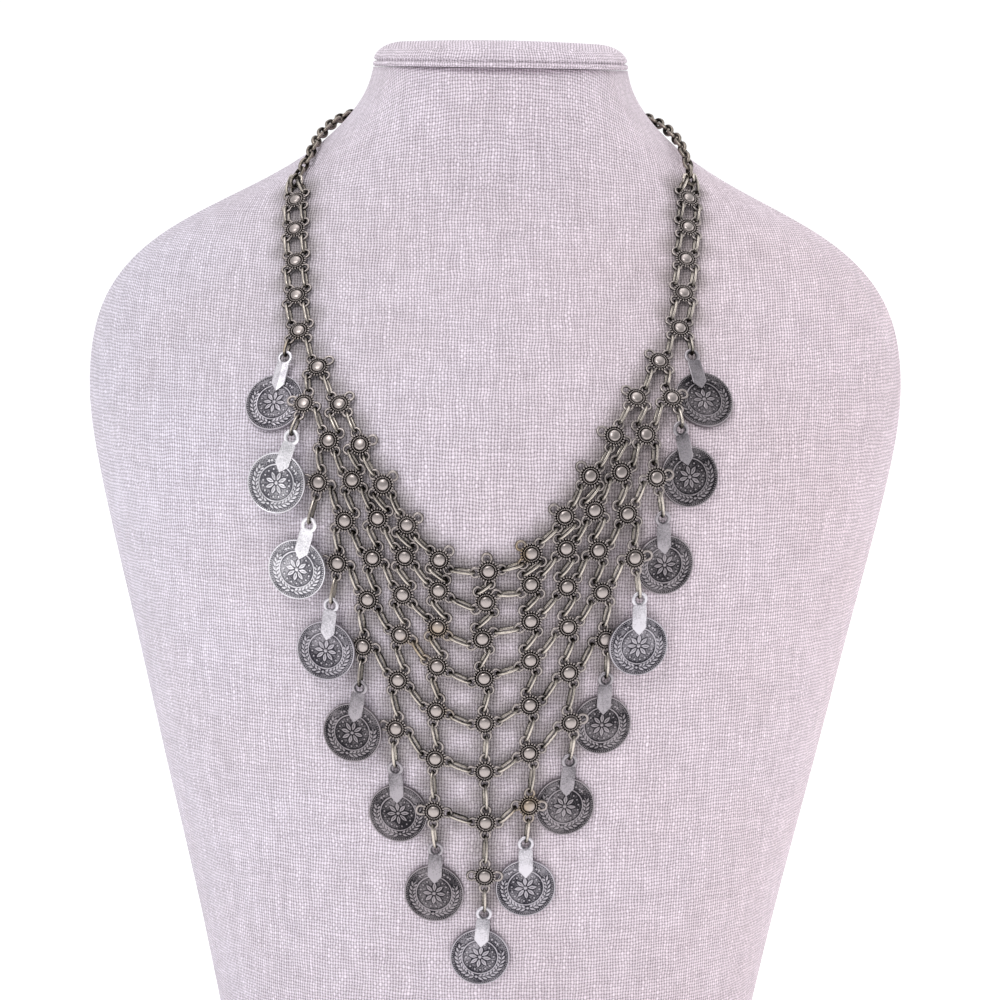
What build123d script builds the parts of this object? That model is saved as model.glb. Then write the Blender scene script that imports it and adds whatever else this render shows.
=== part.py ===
from build123d import *
from math import cos, radians, sin, tan
import os

# A silver bib necklace of cast rosettes, oval links and coins, worn by a linen-covered neck bust.
# Millimetres. The origin is the centre of the bust's flat base, +Z is up, and the front faces -Y.
# Left and right are as seen from the front.

# Neck bust
neck_height = 326.0  # base to the top of the neck, under the cap
shoulder_width = 266.0
chest_depth = 156.0
neck_width = 84.0
neck_set_back = 22.0  # the neck's axis behind the chest's
cap_width = 84.0
cap_thickness = 9.0
cap_rounding = 0.45  # the rims' radius as a share of the thickness
cap_gap = 0.2
section_count = 21  # evenly spaced ovals, blended from the rows below

# Oval sections from the base up: height as a share of neck_height; width as shares of
# shoulder_width and neck_width; depth as shares of chest_depth and neck_width; and the set back
# as a share of neck_set_back.
bust_sections = [
    (0.000, 0.654, 0.000, 0.846, 0.000, 0.000),
    (0.153, 0.729, 0.000, 0.897, 0.000, 0.000),
    (0.307, 0.814, 0.000, 0.942, 0.000, 0.000),
    (0.445, 0.889, 0.000, 0.974, 0.000, 0.000),
    (0.567, 0.956, 0.000, 1.000, 0.000, 0.000),
    (0.650, 0.994, 0.000, 0.900, 0.138, 0.045),
    (0.712, 1.000, 0.000, 0.680, 0.310, 0.182),
    (0.761, 0.977, 0.000, 0.420, 0.553, 0.386),
    (0.804, 0.840, 0.230, 0.220, 0.746, 0.591),
    (0.840, 0.620, 0.577, 0.100, 0.850, 0.773),
    (0.871, 0.380, 0.873, 0.040, 0.878, 0.909),
    (0.902, 0.200, 0.993, 0.000, 0.917, 0.977),
    (0.936, 0.090, 1.010, 0.000, 0.917, 1.000),
    (0.969, 0.020, 1.010, 0.000, 0.929, 1.000),
    (1.000, 0.000, 0.998, 0.000, 0.929, 1.000),
]

# Rosettes: a round plate with a dome, a bead ring and four soldered wire loops
plate_radius = 2.8
plate_thickness = 0.7
dome_radius = 1.7
dome_height = 0.75
bead_ring_radius = 2.3
bead_size = 0.45
loop_outer = 3.3
loop_wire = 0.5
loop_reach = 3.9  # rosette centre to loop centre

# Oval links, which stand on edge and lean outwards
link_length = 7.8
link_width = 3.3
link_wire = 0.6
link_lean = 36.0
coin_link_lean = 20.0
pull_share = 0.4  # how much of its play a link takes up when it is pulled

# Coins, each one soldered piece with its bail strip and eyelet
coin_radius = 9.3
coin_thickness = 1.0
relief_height = 0.15
rim_width = 0.7
inner_ring_radius = 6.0
inner_ring_width = 0.3
petal_count = 8
petal_length = 2.2
petal_width = 1.1
petal_reach = 1.9  # coin centre to petal centre
leaf_count = 11
leaf_length = 2.0
leaf_width = 0.8
leaf_arc = 170.0  # the wreath's spread round the lower edge
eyelet_outer = 5.1
eyelet_wire = 0.95
eyelet_to_coin = 14.7
strip_width = 4.7
strip_thickness = 0.5
strip_length = 11.3  # eyelet centre to the strip's tip
strip_point = 1.8

# Strap rings, back chain and clasp
ring_outer = 4.2
ring_wire = 0.9
ring_spacing = 3.9
ring_lean = 45.0
chain_width = 3.2
clasp_length = 12.0
clasp_width = 5.0
clasp_thickness = 2.4
clasp_rounding = 1.0

# Clearances
linen_gap = 0.35
metal_gap = 0.2
coin_gap = 0.65  # a coin's back to the linen, which curves up under it
chain_gap = 0.3
chain_start_gap = 0.9  # the strap rings lie across the chain's first link

# The necklace hangs from the neck, so each of its drops is measured down from the top of the neck.
# The net hangs in 13 columns. Each row of the list is a column, from the centre one outwards:
# across and drop of its top rosette, how far each lower one moves out, how much its steps
# stretch, and how far the right side hangs higher.
net_shift = -1.9  # the whole net sits a little to the left
neckline = [
    (0.0, 149.4, 0.00, 0.10, 0.0),
    (13.7, 145.1, 0.10, 0.00, 1.2),
    (23.5, 134.4, 0.55, 0.25, 1.7),
    (30.9, 122.6, 1.40, 0.65, 1.8),
    (38.0, 111.4, 2.10, 0.80, 1.8),
    (44.8, 100.8, 2.75, 0.70, 1.6),
    (52.0, 90.7, 3.20, 1.50, 1.6),
]
row_steps = [9.4, 11.4, 12.3, 14.1, 15.2, 16.4, 16.6]  # down a column, in height
strap = [(58.6, 81.0), (60.1, 70.8), (61.1, 60.8), (62.0, 51.3), (62.4, 42.6)]  # across and drop
strap_lift_right = 1.3
strap_ring_place = (63.0, 37.0)
# The centre column's rosettes: their offset to the right and their turn in degrees
centre_rosettes = [(1.0, 8), (0.4, 38), (-0.5, 33), (0.2, 22), (0.6, 8), (0.8, 0), (1.3, 0), (1.3, 0)]

# Coins by column, the strap's last: the link's lean, and the swing of the left and of the right
# coin, all outwards and in degrees
coin_hang = [(0, -2, -2), (-4, 0, 0), (-1, 2, 1), (1, -6, 3), (5, -5, -4), (6, 0, 10), (0, 0, 6), (5, 4, 6)]
coin_drop = 12.6  # rosette centre to eyelet centre
coin_tip = 11.0  # how far a coin that lies over a rosette tips
tipped_coins = [(-1, 3), (-1, 4), (-1, 5), (-1, 6), (1, 4)]  # side and column
raised_lift = 1.5  # a rosette that lies over a coin's edge
raised_rosettes = [(-1, 6, 1), (-1, 1, 6), (0, 0, 7), (1, 6, 1), (1, 5, 2), (1, 4, 3), (1, 2, 5), (1, 1, 6)]

# The back chain's route round the neck: angle from the front, drop, and how far it stands off
chain_route = [(74, 30.5, 1.2), (84, 24.5, 0.9), (96, 19.0, 0.8), (112, 15.5, 0.8),
               (129, 14.3, 0.8), (146, 14.0, 0.8), (162, 14.0, 0.7)]
clasp_drop = 14.0
chain_bend_share = 0.45

down = Vector(0, 0, -1)
front = Vector(0, -1, 0)


def row_slope(k):
    # How fast each share changes with height at row k
    before, after = bust_sections[max(k - 1, 0)], bust_sections[min(k + 1, len(bust_sections) - 1)]
    return [(q - p) / (after[0] - before[0]) for p, q in zip(before, after)]


def bust_section(share):
    # The oval at a share of the height, on a smooth curve through the rows
    k = max(k for k, row in enumerate(bust_sections[:-1]) if row[0] <= share)
    run = bust_sections[k + 1][0] - bust_sections[k][0]
    t = (share - bust_sections[k][0]) / run
    rows = zip(bust_sections[k], bust_sections[k + 1], row_slope(k), row_slope(k + 1))
    _, width_s, width_n, depth_s, depth_n, back = [
        (2 * t**3 - 3 * t**2 + 1) * p + (3 * t**2 - 2 * t**3) * q
        + run * ((t**3 - 2 * t**2 + t) * slope_p + (t**3 - t**2) * slope_q)
        for p, q, slope_p, slope_q in rows
    ]
    half_width = (width_s * shoulder_width + width_n * neck_width) / 2
    half_depth = (depth_s * chest_depth + depth_n * neck_width) / 2
    return Pos(0, back * neck_set_back, share * neck_height) * Ellipse(half_width, half_depth)


def make_cap():
    # A padded disc, round at both rims
    cap = Cylinder(cap_width / 2, cap_thickness)
    cap = fillet(cap.edges().filter_by(GeomType.CIRCLE), cap_rounding * cap_thickness)
    return Pos(0, neck_set_back, neck_height + cap_gap + cap_thickness / 2) * cap


bust = loft([bust_section(k / (section_count - 1)) for k in range(section_count)])
cover = [face for face in bust.faces() if face.geom_type != GeomType.PLANE]


def seat(start, direction):
    # The outermost point of the bust on the line from start, and its outward normal
    hits = [hit for face in cover for hit in face.find_intersection_points(Axis(start, direction))]
    point, normal = max(hits, key=lambda hit: hit[0].dot(direction))
    normal = normal.normalized()
    return point, normal if normal.dot(direction) > 0 else normal * -1


def seat_front(x, z):
    return seat(Vector(x, 0, z), front)


def along(direction, normal):
    # The direction turned into the plane that the normal stands on
    return (direction - normal * direction.dot(normal)).normalized()


def plane_at(origin, normal, up):
    # z stands off the linen, y points up the piece and x to its right
    up = along(up, normal)
    return Plane(origin=origin, x_dir=up.cross(normal), z_dir=normal)


def play_in(hole_radius):
    return hole_radius - link_wire / 2 - metal_gap


loop_play = play_in(loop_outer / 2 - loop_wire)
eyelet_play = play_in(eyelet_outer / 2 - eyelet_wire)
ring_play = play_in(ring_outer / 2 - ring_wire)
loop_radius = (loop_outer - loop_wire) / 2
link_half = (link_width - link_wire) / 2
link_lift = link_half * cos(radians(link_lean)) + link_wire / 2 + linen_gap


class Rosette:
    # A rosette's place on the linen, its turn, and the links on its loops
    def __init__(self, x, z, turn=0.0, extra=0.0):
        point, self.normal = seat_front(x, z)
        self.plane = plane_at(point + self.normal * (link_lift + extra), self.normal, -down)
        self.turn = turn
        self.ends = []

    def loop_centre(self, corner, turn=None):
        angle = radians((self.turn if turn is None else turn) + corner)
        return self.plane.from_local_coords((loop_reach * cos(angle), loop_reach * sin(angle), 0))

    def loop_end(self, corner):
        return self.loop_centre(corner), self.normal, loop_radius, loop_play

    def strain(self, turn, near_loops):
        # Links out of their natural length, and loops that crowd a neighbour's
        total = 0
        for corner, end in self.ends:
            stretch = abs((self.loop_centre(corner, turn) - end()).length - link_length + link_wire)
            total += stretch ** 2 + (10 * max(0, stretch - 2 * loop_play)) ** 2
        for corner in corners:
            here = self.loop_centre(corner, turn)
            for there in near_loops:
                total += (20 * max(0, loop_outer + metal_gap - (here - there).length)) ** 2
        return total


# Corners of a rosette's four loops, as angles seen from the front. A centre rosette starts an
# eighth of a turn round, so that its loops point up, left, down and right.
upper_right, upper_left, lower_left, lower_right = corners = (45, 135, 225, 315)
centre_start = 45


def rows_in(column):
    return len(row_steps) + 1 - column


def column_place(side, column, row):
    across, drop, lean, stretch, skew = neckline[column]
    drop += sum(row_steps[:row]) + row * stretch
    return net_shift + side * (across + row * lean), neck_height - drop + side * skew


def place_rosettes():
    places = {}
    for side in (-1, 0, 1):
        for column in ([0] if side == 0 else range(1, len(neckline))):
            for row in range(rows_in(column)):
                x, z = column_place(side, column, row)
                extra = raised_lift if (side, column, row) in raised_rosettes else 0
                offset, turn = centre_rosettes[row] if side == 0 else (0, 0)
                x, turn = x + offset, turn + (centre_start if side == 0 else 0)
                places[side, column, row] = Rosette(x, z, turn, extra)
    for side in (-1, 1):
        for k, (across, drop) in enumerate(strap):
            z = neck_height - drop + side * strap_lift_right
            places[side, "strap", k] = Rosette(net_shift + side * across, z)
    return places


rosettes = place_rosettes()
links = {}


def join(name, side, one, corner_one, other, corner_other):
    links.setdefault(name, []).append((side, one, corner_one, other, corner_other))
    one.ends.append((corner_one, lambda: other.loop_centre(corner_other)))
    other.ends.append((corner_other, lambda: one.loop_centre(corner_one)))


def join_side(side):
    # Along each string to the centre, down each column, and up the strap in pairs
    upper_out, upper_in = (upper_left, upper_right) if side < 0 else (upper_right, upper_left)
    lower_out, lower_in = (lower_left, lower_right) if side < 0 else (lower_right, lower_left)
    centre_side = upper_left if side < 0 else lower_right
    for column in range(1, len(neckline)):
        for row in range(rows_in(column)):
            rosette = rosettes[side, column, row]
            string = f"links_string_{row + 1}"
            if column > 1:
                join(string, side, rosette, lower_in, rosettes[side, column - 1, row], upper_out)
            else:
                join(string, side, rosette, lower_in, rosettes[0, 0, row], centre_side)
            if row + 1 < rows_in(column):
                below = rosettes[side, column, row + 1]
                join(f"links_between_{row + 1}_{row + 2}", side, rosette, lower_out, below, upper_in)
    name = f"strap_links_{side_names[side]}"
    for k in range(len(strap) - 1):
        below, above = rosettes[side, "strap", k], rosettes[side, "strap", k + 1]
        join(name, side, above, lower_out, below, upper_out)
        join(name, side, above, lower_in, below, upper_in)
    join(name, side, rosettes[side, "strap", 0], lower_in, rosettes[side, 6, 0], upper_out)


side_names = {-1: "left", 0: "centre", 1: "right"}
for side in (-1, 1):
    join_side(side)
for row in range(len(row_steps)):
    upper, lower = rosettes[0, 0, row], rosettes[0, 0, row + 1]
    join(f"links_between_{row + 1}_{row + 2}", 1, upper, lower_left, lower, upper_right)


class Coin:
    # A coin's place: its eyelet hangs below a rosette, and the coin lies on the linen
    def __init__(self, side, column):
        self.side = side
        strap_coin = column == len(neckline)
        last_row = 0 if strap_coin else rows_in(column) - 1
        self.rosette = rosettes[side, "strap" if strap_coin else column, last_row]
        self.corner = lower_right if side > 0 else lower_left
        lean, left_swing, right_swing = coin_hang[column]
        swing = left_swing if side < 0 else right_swing
        swing_side = side if side else 1
        eyelet, eyelet_normal = self.step(self.rosette.plane.origin, self.rosette.normal, lean, coin_drop)
        centre, normal = self.step(eyelet, eyelet_normal, swing, eyelet_to_coin, swing_side)
        tip = coin_tip if (side, column) in tipped_coins else 0
        top = centre + along(eyelet - centre, normal) * eyelet_to_coin
        coin_lift = coin_gap + coin_thickness + strip_thickness / 2 + coin_radius * sin(radians(tip))
        eyelet_lift = coin_gap + eyelet_wire / 2 + (eyelet - top).dot(normal)
        self.plane = plane_at(top + normal * max(coin_lift, eyelet_lift), normal, eyelet - centre)
        self.plane = self.plane.rotated((0, side * -tip, 0))
        self.rosette.ends.append((self.corner, lambda: self.plane.origin))

    def step(self, point, normal, lean, reach, side=None):
        side = self.side if side is None else side
        heading = Vector(side * sin(radians(lean)), 0, -cos(radians(lean)))
        place = point + along(heading, normal) * reach
        return seat_front(place.X, place.Z)


coins = {}
for column in range(len(neckline) + 1):
    for side in ([0] if column == 0 else (-1, 1)):
        coins[side, column] = Coin(side, column)

# A pair of strap rings above each strap, tilted as the links in them are
ring_lift = (ring_outer - ring_wire) / 2 * sin(radians(ring_lean)) + ring_wire / 2 + linen_gap
rings, flat_normals = {}, {}
for side in (-1, 1):
    across, drop = strap_ring_place
    z = neck_height - drop + side * strap_lift_right
    point, normal = seat_front(net_shift + side * across, z)
    flat = plane_at(point + normal * ring_lift, normal, -down)
    for place in (-1, 1):
        origin = flat.from_local_coords((place * ring_spacing / 2, 0, 0))
        top = rosettes[side, "strap", len(strap) - 1]
        run = (origin - top.loop_centre(upper_right if place > 0 else upper_left)).normalized()
        normal = along(flat.z_dir, run)
        upright = normal * cos(radians(ring_lean)) + run.cross(normal) * side * sin(radians(ring_lean))
        rings[side, place] = plane_at(origin, upright, run)
    flat_normals[side] = flat.z_dir

# Each rosette turns until its links pull evenly; the centre column's turns are given
near = 2 * loop_reach + loop_outer + metal_gap
neighbours = {}
for key, rosette in rosettes.items():
    others = [other for other in rosettes.values() if other is not rosette]
    neighbours[key] = [other for other in others
                       if (other.plane.origin - rosette.plane.origin).length < near]
for turn_step in [2.0] * 20 + [0.5] * 12:
    for key, rosette in rosettes.items():
        if key[0] != 0:
            near_loops = [other.loop_centre(corner) for other in neighbours[key] for corner in corners]
            choices = (rosette.turn, rosette.turn - turn_step, rosette.turn + turn_step)
            rosette.turn = min(choices, key=lambda turn: rosette.strain(turn, near_loops))


def make_rosette():
    top = plate_thickness / 2
    ball = (dome_radius ** 2 + dome_height ** 2) / (2 * dome_height)
    dome = Pos(0, 0, top + dome_height - ball) * Sphere(ball)
    dome &= Pos(0, 0, top + dome_height / 2) * Cylinder(plate_radius, dome_height)
    beads = Pos(0, 0, top) * Torus(bead_ring_radius, bead_size / 2)
    loop = Pos(loop_reach, 0, 0) * Torus(loop_radius, loop_wire / 2)
    loops = [Rot(0, 0, upper_right + 90 * k) * loop for k in range(4)]
    return Cylinder(plate_radius, plate_thickness) + [dome, beads] + loops


def make_link(length):
    # An oval ring round the origin, long in x and standing in the plane of x and z
    half, r = max(length - link_width, 0.4) / 2, link_half
    path = Wire([
        Line((-half, 0, -r), (half, 0, -r)),
        ThreePointArc((half, 0, -r), (half + r, 0, 0), (half, 0, r)),
        Line((half, 0, r), (-half, 0, r)),
        ThreePointArc((-half, 0, r), (-half - r, 0, 0), (-half, 0, -r)),
    ])
    start = Plane(origin=(-half, 0, -r), z_dir=(1, 0, 0))
    return sweep(start * Circle(link_wire / 2), path)


def link_between(one, other, normal, side, lean=link_lean):
    # Each end is a ring's centre, normal, wire circle and play. The link crosses each wire at its
    # middle, and reaches past the ring's centre by up to the play, or stays short by a part of it.
    p, p_normal, p_radius, p_play = one
    q, q_normal, q_radius, q_play = other
    p_cross = p + along(q - p, p_normal) * p_radius
    q_cross = q + along(p - q, q_normal) * q_radius
    reach = link_length - link_wire - (q_cross - p_cross).length - p_radius - q_radius
    p_end = min(max(reach / 2, -p_play * pull_share), p_play)
    q_end = min(max(reach - p_end, -q_play * pull_share), q_play)
    p_end = min(max(reach - q_end, -p_play * pull_share), p_play)
    run = (q_cross - p_cross).normalized()
    start, end = p_cross - run * (p_radius + p_end), q_cross + run * (q_radius + q_end)
    normal = along(normal, run)
    across = normal.cross(run)
    if across.dot(Vector(side, 0, -1)) < 0:
        across = across * -1
    upright = normal * cos(radians(lean)) + across * sin(radians(lean))
    place = Plane(origin=(start + end) / 2, x_dir=run, z_dir=upright)
    return place.location * make_link((end - start).length + link_wire)


def make_relief():
    # A rim, an inner ring, a plain flower and a half wreath of leaves, raised on the face
    raised = [
        Cylinder(coin_radius, relief_height) - Cylinder(coin_radius - rim_width, relief_height),
        Cylinder(inner_ring_radius + inner_ring_width, relief_height)
        - Cylinder(inner_ring_radius, relief_height),
    ]
    petal = extrude(Ellipse(petal_length / 2, petal_width / 2), relief_height / 2, both=True)
    for k in range(petal_count):
        raised.append(Rot(0, 0, 360 * k / petal_count) * Pos(petal_reach, 0, 0) * petal)
    leaf = extrude(Ellipse(leaf_width / 2, leaf_length / 2), relief_height / 2, both=True)
    wreath_radius = (coin_radius - rim_width + inner_ring_radius + inner_ring_width) / 2
    for k in range(leaf_count):
        angle = 270 + leaf_arc * (k / (leaf_count - 1) - 0.5)
        raised.append(Rot(0, 0, angle) * Pos(wreath_radius, 0, 0) * Rot(0, 0, 50 if k % 2 else -50) * leaf)
    return raised


def make_coin():
    # Round its eyelet's centre: z is outwards, and the coin hangs down -y
    face = -strip_thickness / 2
    disc = Cylinder(coin_radius, coin_thickness)
    relief = [Pos(0, 0, (coin_thickness + relief_height) / 2) * piece for piece in make_relief()]
    coin = Pos(0, -eyelet_to_coin, face - coin_thickness / 2) * (disc + relief)
    half, shoulder = strip_width / 2, strip_length - strip_point
    top = -(eyelet_outer - eyelet_wire) / 2
    strip = make_face(Polyline(
        (-half, top), (-half, -shoulder), (0, -strip_length), (half, -shoulder), (half, top), close=True))
    strip = extrude(strip, strip_thickness / 2, both=True)
    strip -= Cylinder(eyelet_outer / 2 - eyelet_wire, 2 * eyelet_wire)
    strip = Pos(0, 0, relief_height) * strip
    eyelet = Torus((eyelet_outer - eyelet_wire) / 2, eyelet_wire / 2)
    return coin + [strip, eyelet]


def neck_point(side, angle, drop, stand_off):
    # A point of the back chain's middle line, which bends round the neck
    turn = radians(angle)
    direction = Vector(side * sin(turn), -cos(turn), 0)
    point, normal = seat(Vector(0, neck_set_back, neck_height - drop), direction)
    return point + normal * (chain_width / 2 + chain_gap + stand_off)


def make_chain(side):
    middle = (rings[side, -1].origin + rings[side, 1].origin) / 2
    points = [neck_point(side, *stop) for stop in chain_route]
    leaving = (points[0] - middle).normalized()
    end = clasp_plane.origin + clasp_plane.x_dir * -side * (clasp_length / 2 + chain_gap)
    points = [middle + leaving * (ring_outer / 2 + chain_start_gap)] + points + [end]
    radii = []
    for before, corner, after in zip(points, points[1:], points[2:]):
        turn = radians((corner - before).get_angle(after - corner))
        run = min((corner - before).length, (after - corner).length)
        radii.append(chain_bend_share * run / tan(turn / 2))
    print(side_names[side], "chain radii", [round(radius, 1) for radius in radii])
    path = FilletPolyline(*points, radius=radii).wire()
    print(side_names[side], "chain length", round(path.length, 1))
    section = Plane(origin=path @ 0, z_dir=path % 0) * Circle(chain_width / 2)
    tube = sweep(section, path)
    print("volume over section times length", round(tube.volume / section.area / path.length, 4))
    return tube


back_point, back_normal = seat(Vector(0, neck_set_back, neck_height - clasp_drop), Vector(0, 1, 0))
clasp_origin = back_point + back_normal * (clasp_thickness / 2 + chain_gap)
clasp_plane = plane_at(clasp_origin, back_normal, -down)


def make_clasp():
    body = Box(clasp_length, clasp_width, clasp_thickness)
    return clasp_plane.location * fillet(body.edges(), clasp_rounding)


def make_nodes():
    nodes = {"neck_bust": [bust], "neck_cap": [make_cap()]}
    rosette_shape = make_rosette()
    for (side, column, row), rosette in rosettes.items():
        strap_name = f"strap_rosettes_{side_names[side]}"
        name = strap_name if column == "strap" else f"rosettes_string_{row + 1}"
        placed = rosette.plane.location * Rot(0, 0, rosette.turn) * rosette_shape
        nodes.setdefault(name, []).append(placed)
    for name, group in links.items():
        for side, one, corner_one, other, corner_other in group:
            ends = one.loop_end(corner_one), other.loop_end(corner_other)
            link = link_between(*ends, one.normal + other.normal, side)
            nodes.setdefault(name, []).append(link)
    ring_shape = Torus((ring_outer - ring_wire) / 2, ring_wire / 2)
    for (side, place), ring in rings.items():
        top = rosettes[side, "strap", len(strap) - 1]
        loop_end = top.loop_end(upper_right if place > 0 else upper_left)
        ring_end = ring.origin, ring.z_dir, (ring_outer - ring_wire) / 2, ring_play
        link = link_between(loop_end, ring_end, flat_normals[side], side, ring_lean)
        nodes[f"strap_links_{side_names[side]}"].append(link)
        nodes.setdefault(f"strap_rings_{side_names[side]}", []).append(ring.location * ring_shape)
    for side in (-1, 1):
        nodes[f"back_chain_{side_names[side]}"] = [make_chain(side)]
    nodes["clasp"] = [make_clasp()]
    coin_shape = make_coin()
    for (side, column), coin in coins.items():
        number = f"_{column}" if side else ""
        nodes[f"coin_{side_names[side]}{number}"] = [coin.plane.location * coin_shape]
        eyelet_end = coin.plane.origin, coin.plane.z_dir, (eyelet_outer - eyelet_wire) / 2, eyelet_play
        normal = coin.rosette.normal + coin.plane.z_dir
        loop_end = coin.rosette.loop_end(coin.corner)
        link = link_between(loop_end, eyelet_end, normal, side or 1, coin_link_lean)
        nodes.setdefault("coin_links", []).append(link)
    return nodes


nodes = make_nodes()
os.makedirs("parts", exist_ok=True)
for name, shapes in nodes.items():
    solids = [solid for shape in shapes for solid in shape.solids()]
    part = solids[0] if len(solids) == 1 else Compound(children=solids)
    part.label = name
    export_step(part, f"parts/{name}.step")
print(len(nodes), "nodes,", sum(len(shapes) for shapes in nodes.values()), "solids")
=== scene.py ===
import bpy
import math
import numpy as np
from mathutils import Matrix, Vector
from mathutils.bvhtree import BVHTree


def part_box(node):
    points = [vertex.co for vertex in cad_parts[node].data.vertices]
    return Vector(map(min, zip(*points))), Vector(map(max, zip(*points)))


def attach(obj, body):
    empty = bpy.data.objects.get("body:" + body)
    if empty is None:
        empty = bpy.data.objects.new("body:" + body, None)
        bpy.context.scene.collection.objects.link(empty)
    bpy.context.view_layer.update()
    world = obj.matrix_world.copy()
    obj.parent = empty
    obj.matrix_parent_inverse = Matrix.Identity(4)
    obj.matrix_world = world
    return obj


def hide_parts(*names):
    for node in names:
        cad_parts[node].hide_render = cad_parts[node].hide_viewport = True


# Coin necklace on a linen neck bust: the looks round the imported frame. Metres, front towards -Y.

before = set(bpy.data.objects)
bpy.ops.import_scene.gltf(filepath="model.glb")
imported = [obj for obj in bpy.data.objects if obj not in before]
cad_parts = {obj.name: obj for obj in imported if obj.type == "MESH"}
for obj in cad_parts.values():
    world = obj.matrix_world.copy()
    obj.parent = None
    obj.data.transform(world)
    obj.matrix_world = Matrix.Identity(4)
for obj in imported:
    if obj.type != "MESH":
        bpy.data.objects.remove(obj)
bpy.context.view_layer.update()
scene = bpy.context.scene
mm = 0.001
print("stage: frame loaded,", len(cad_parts), "nodes")


# Helpers

def linear(hexColour):
    # an sRGB hex value as linear RGBA
    parts = [int(hexColour[k:k + 2], 16) / 255 for k in (1, 3, 5)]
    return [p / 12.92 if p <= 0.04045 else ((p + 0.055) / 1.055) ** 2.4 for p in parts] + [1.0]


def addNode(tree, kind, links=None, **settings):
    # a node with its settings; each named input is linked from a socket or takes a value
    made = tree.nodes.new(kind)
    for name, value in settings.items():
        setattr(made, name, value)
    for key, value in (links or {}).items():
        if isinstance(value, bpy.types.NodeSocket):
            tree.links.new(value, made.inputs[key])
        else:
            made.inputs[key].default_value = value
    return made


def meshObject(name, points, faces, smooth=True):
    mesh = bpy.data.meshes.new(name)
    mesh.from_pydata([tuple(p) for p in points], [], faces)
    mesh.validate()
    if smooth:
        mesh.shade_smooth()
    made = bpy.data.objects.new(name, mesh)
    scene.collection.objects.link(made)
    return made


def setAttribute(made, name, kind, values):
    mesh = made.data
    layer = mesh.attributes.new(name, kind, "POINT")
    key = "vector" if kind == "FLOAT_VECTOR" else "value"
    layer.data.foreach_set(key, np.asarray(values, np.float32).ravel())


def ringFaces(rings, steps, flipped=False):
    # quads between neighbouring rings of points, and triangles where a ring is one point
    faces = []
    for low, high in zip(rings, rings[1:]):
        for k in range(steps):
            n = (k + 1) % steps
            if len(low) == 1:
                face = (low[0], high[n], high[k])
            elif len(high) == 1:
                face = (low[k], low[n], high[0])
            else:
                face = (low[k], low[n], high[n], high[k])
            faces.append((face[0], *face[:0:-1]) if flipped else face)
    return faces


def evenRings(count, steps):
    # the point numbers of rings that all have the same number of points
    return [range(k * steps, (k + 1) * steps) for k in range(count)]


def lathe(profile, steps):
    # points and faces of a closed profile of (radius, height), turned round z
    points, rings = [], []
    for radius, height in profile:
        if radius < 1e-7:
            rings.append([len(points)])
            points.append((0, 0, height))
        else:
            rings.append(list(range(len(points), len(points) + steps)))
            turns = [2 * math.pi * k / steps for k in range(steps)]
            points += [(radius * math.cos(turn), radius * math.sin(turn), height) for turn in turns]
    return points, ringFaces(rings, steps)


def wireRing(radius, wire, steps, sides):
    # a closed ring of round wire in the plane of x and y
    points = []
    for k in range(steps):
        turn = 2 * math.pi * (k + 0.5) / steps
        for j in range(sides):
            side = 2 * math.pi * j / sides
            reach = radius + wire * math.cos(side)
            points.append((reach * math.cos(turn), reach * math.sin(turn), wire * math.sin(side)))
    rings = evenRings(steps, sides)
    return points, ringFaces(rings + rings[:1], sides, flipped=True)


def islandsOf(nodeName):
    # the loose solids of a CAD node, each as its triangles' corners (count, 3, 3)
    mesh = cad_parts[nodeName].data
    mesh.calc_loop_triangles()
    points = np.empty(len(mesh.vertices) * 3)
    mesh.vertices.foreach_get("co", points)
    points = points.reshape(-1, 3)
    corners = np.empty(len(mesh.loop_triangles) * 3, np.int64)
    mesh.loop_triangles.foreach_get("vertices", corners)
    _, merged = np.unique(np.round(points / 1e-6).astype(np.int64), axis=0, return_inverse=True)
    merged = merged.ravel()
    triangles = merged[corners].reshape(-1, 3)
    label = np.arange(merged.max() + 1)
    while True:
        lowest = label[triangles].min(axis=1)
        before = label.copy()
        for k in range(3):
            np.minimum.at(label, triangles[:, k], lowest)
        label = label[label]
        if (label == before).all():
            break
    owner = label[triangles[:, 0]]
    shapes = points[corners].reshape(-1, 3, 3)
    return [shapes[owner == k] for k in np.unique(owner)]


def spreadOf(shape):
    # a solid's centre of area, and its long, middle and short directions
    middles = shape.mean(axis=1)
    areas = np.linalg.norm(np.cross(shape[:, 1] - shape[:, 0], shape[:, 2] - shape[:, 0]), axis=1) / 2
    centre = (middles * areas[:, None]).sum(axis=0) / areas.sum()
    away = middles - centre
    _, axes = np.linalg.eigh((away * areas[:, None]).T @ away)
    return centre, axes[:, 2], axes[:, 1], axes[:, 0], middles, areas


def facing(direction, towards):
    return direction if np.dot(direction, towards) > 0 else -direction


def turnOf(xAxis, zAxis):
    # the Euler turn that takes x and z to these directions
    yAxis = np.cross(zAxis, xAxis)
    return Matrix(np.array([xAxis, yAxis, zAxis]).T.tolist()).to_euler()


front = np.array([0.0, -1.0, 0.25])


# Geometry Nodes trees

def newTree(name, inputs):
    tree = bpy.data.node_groups.new(name, "GeometryNodeTree")
    tree.interface.new_socket("Geometry", in_out="INPUT", socket_type="NodeSocketGeometry")
    for label, kind in inputs:
        tree.interface.new_socket(label, in_out="INPUT", socket_type="NodeSocket" + kind)
    tree.interface.new_socket("Geometry", in_out="OUTPUT", socket_type="NodeSocketGeometry")
    return tree, tree.nodes.new("NodeGroupInput"), tree.nodes.new("NodeGroupOutput")


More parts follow.
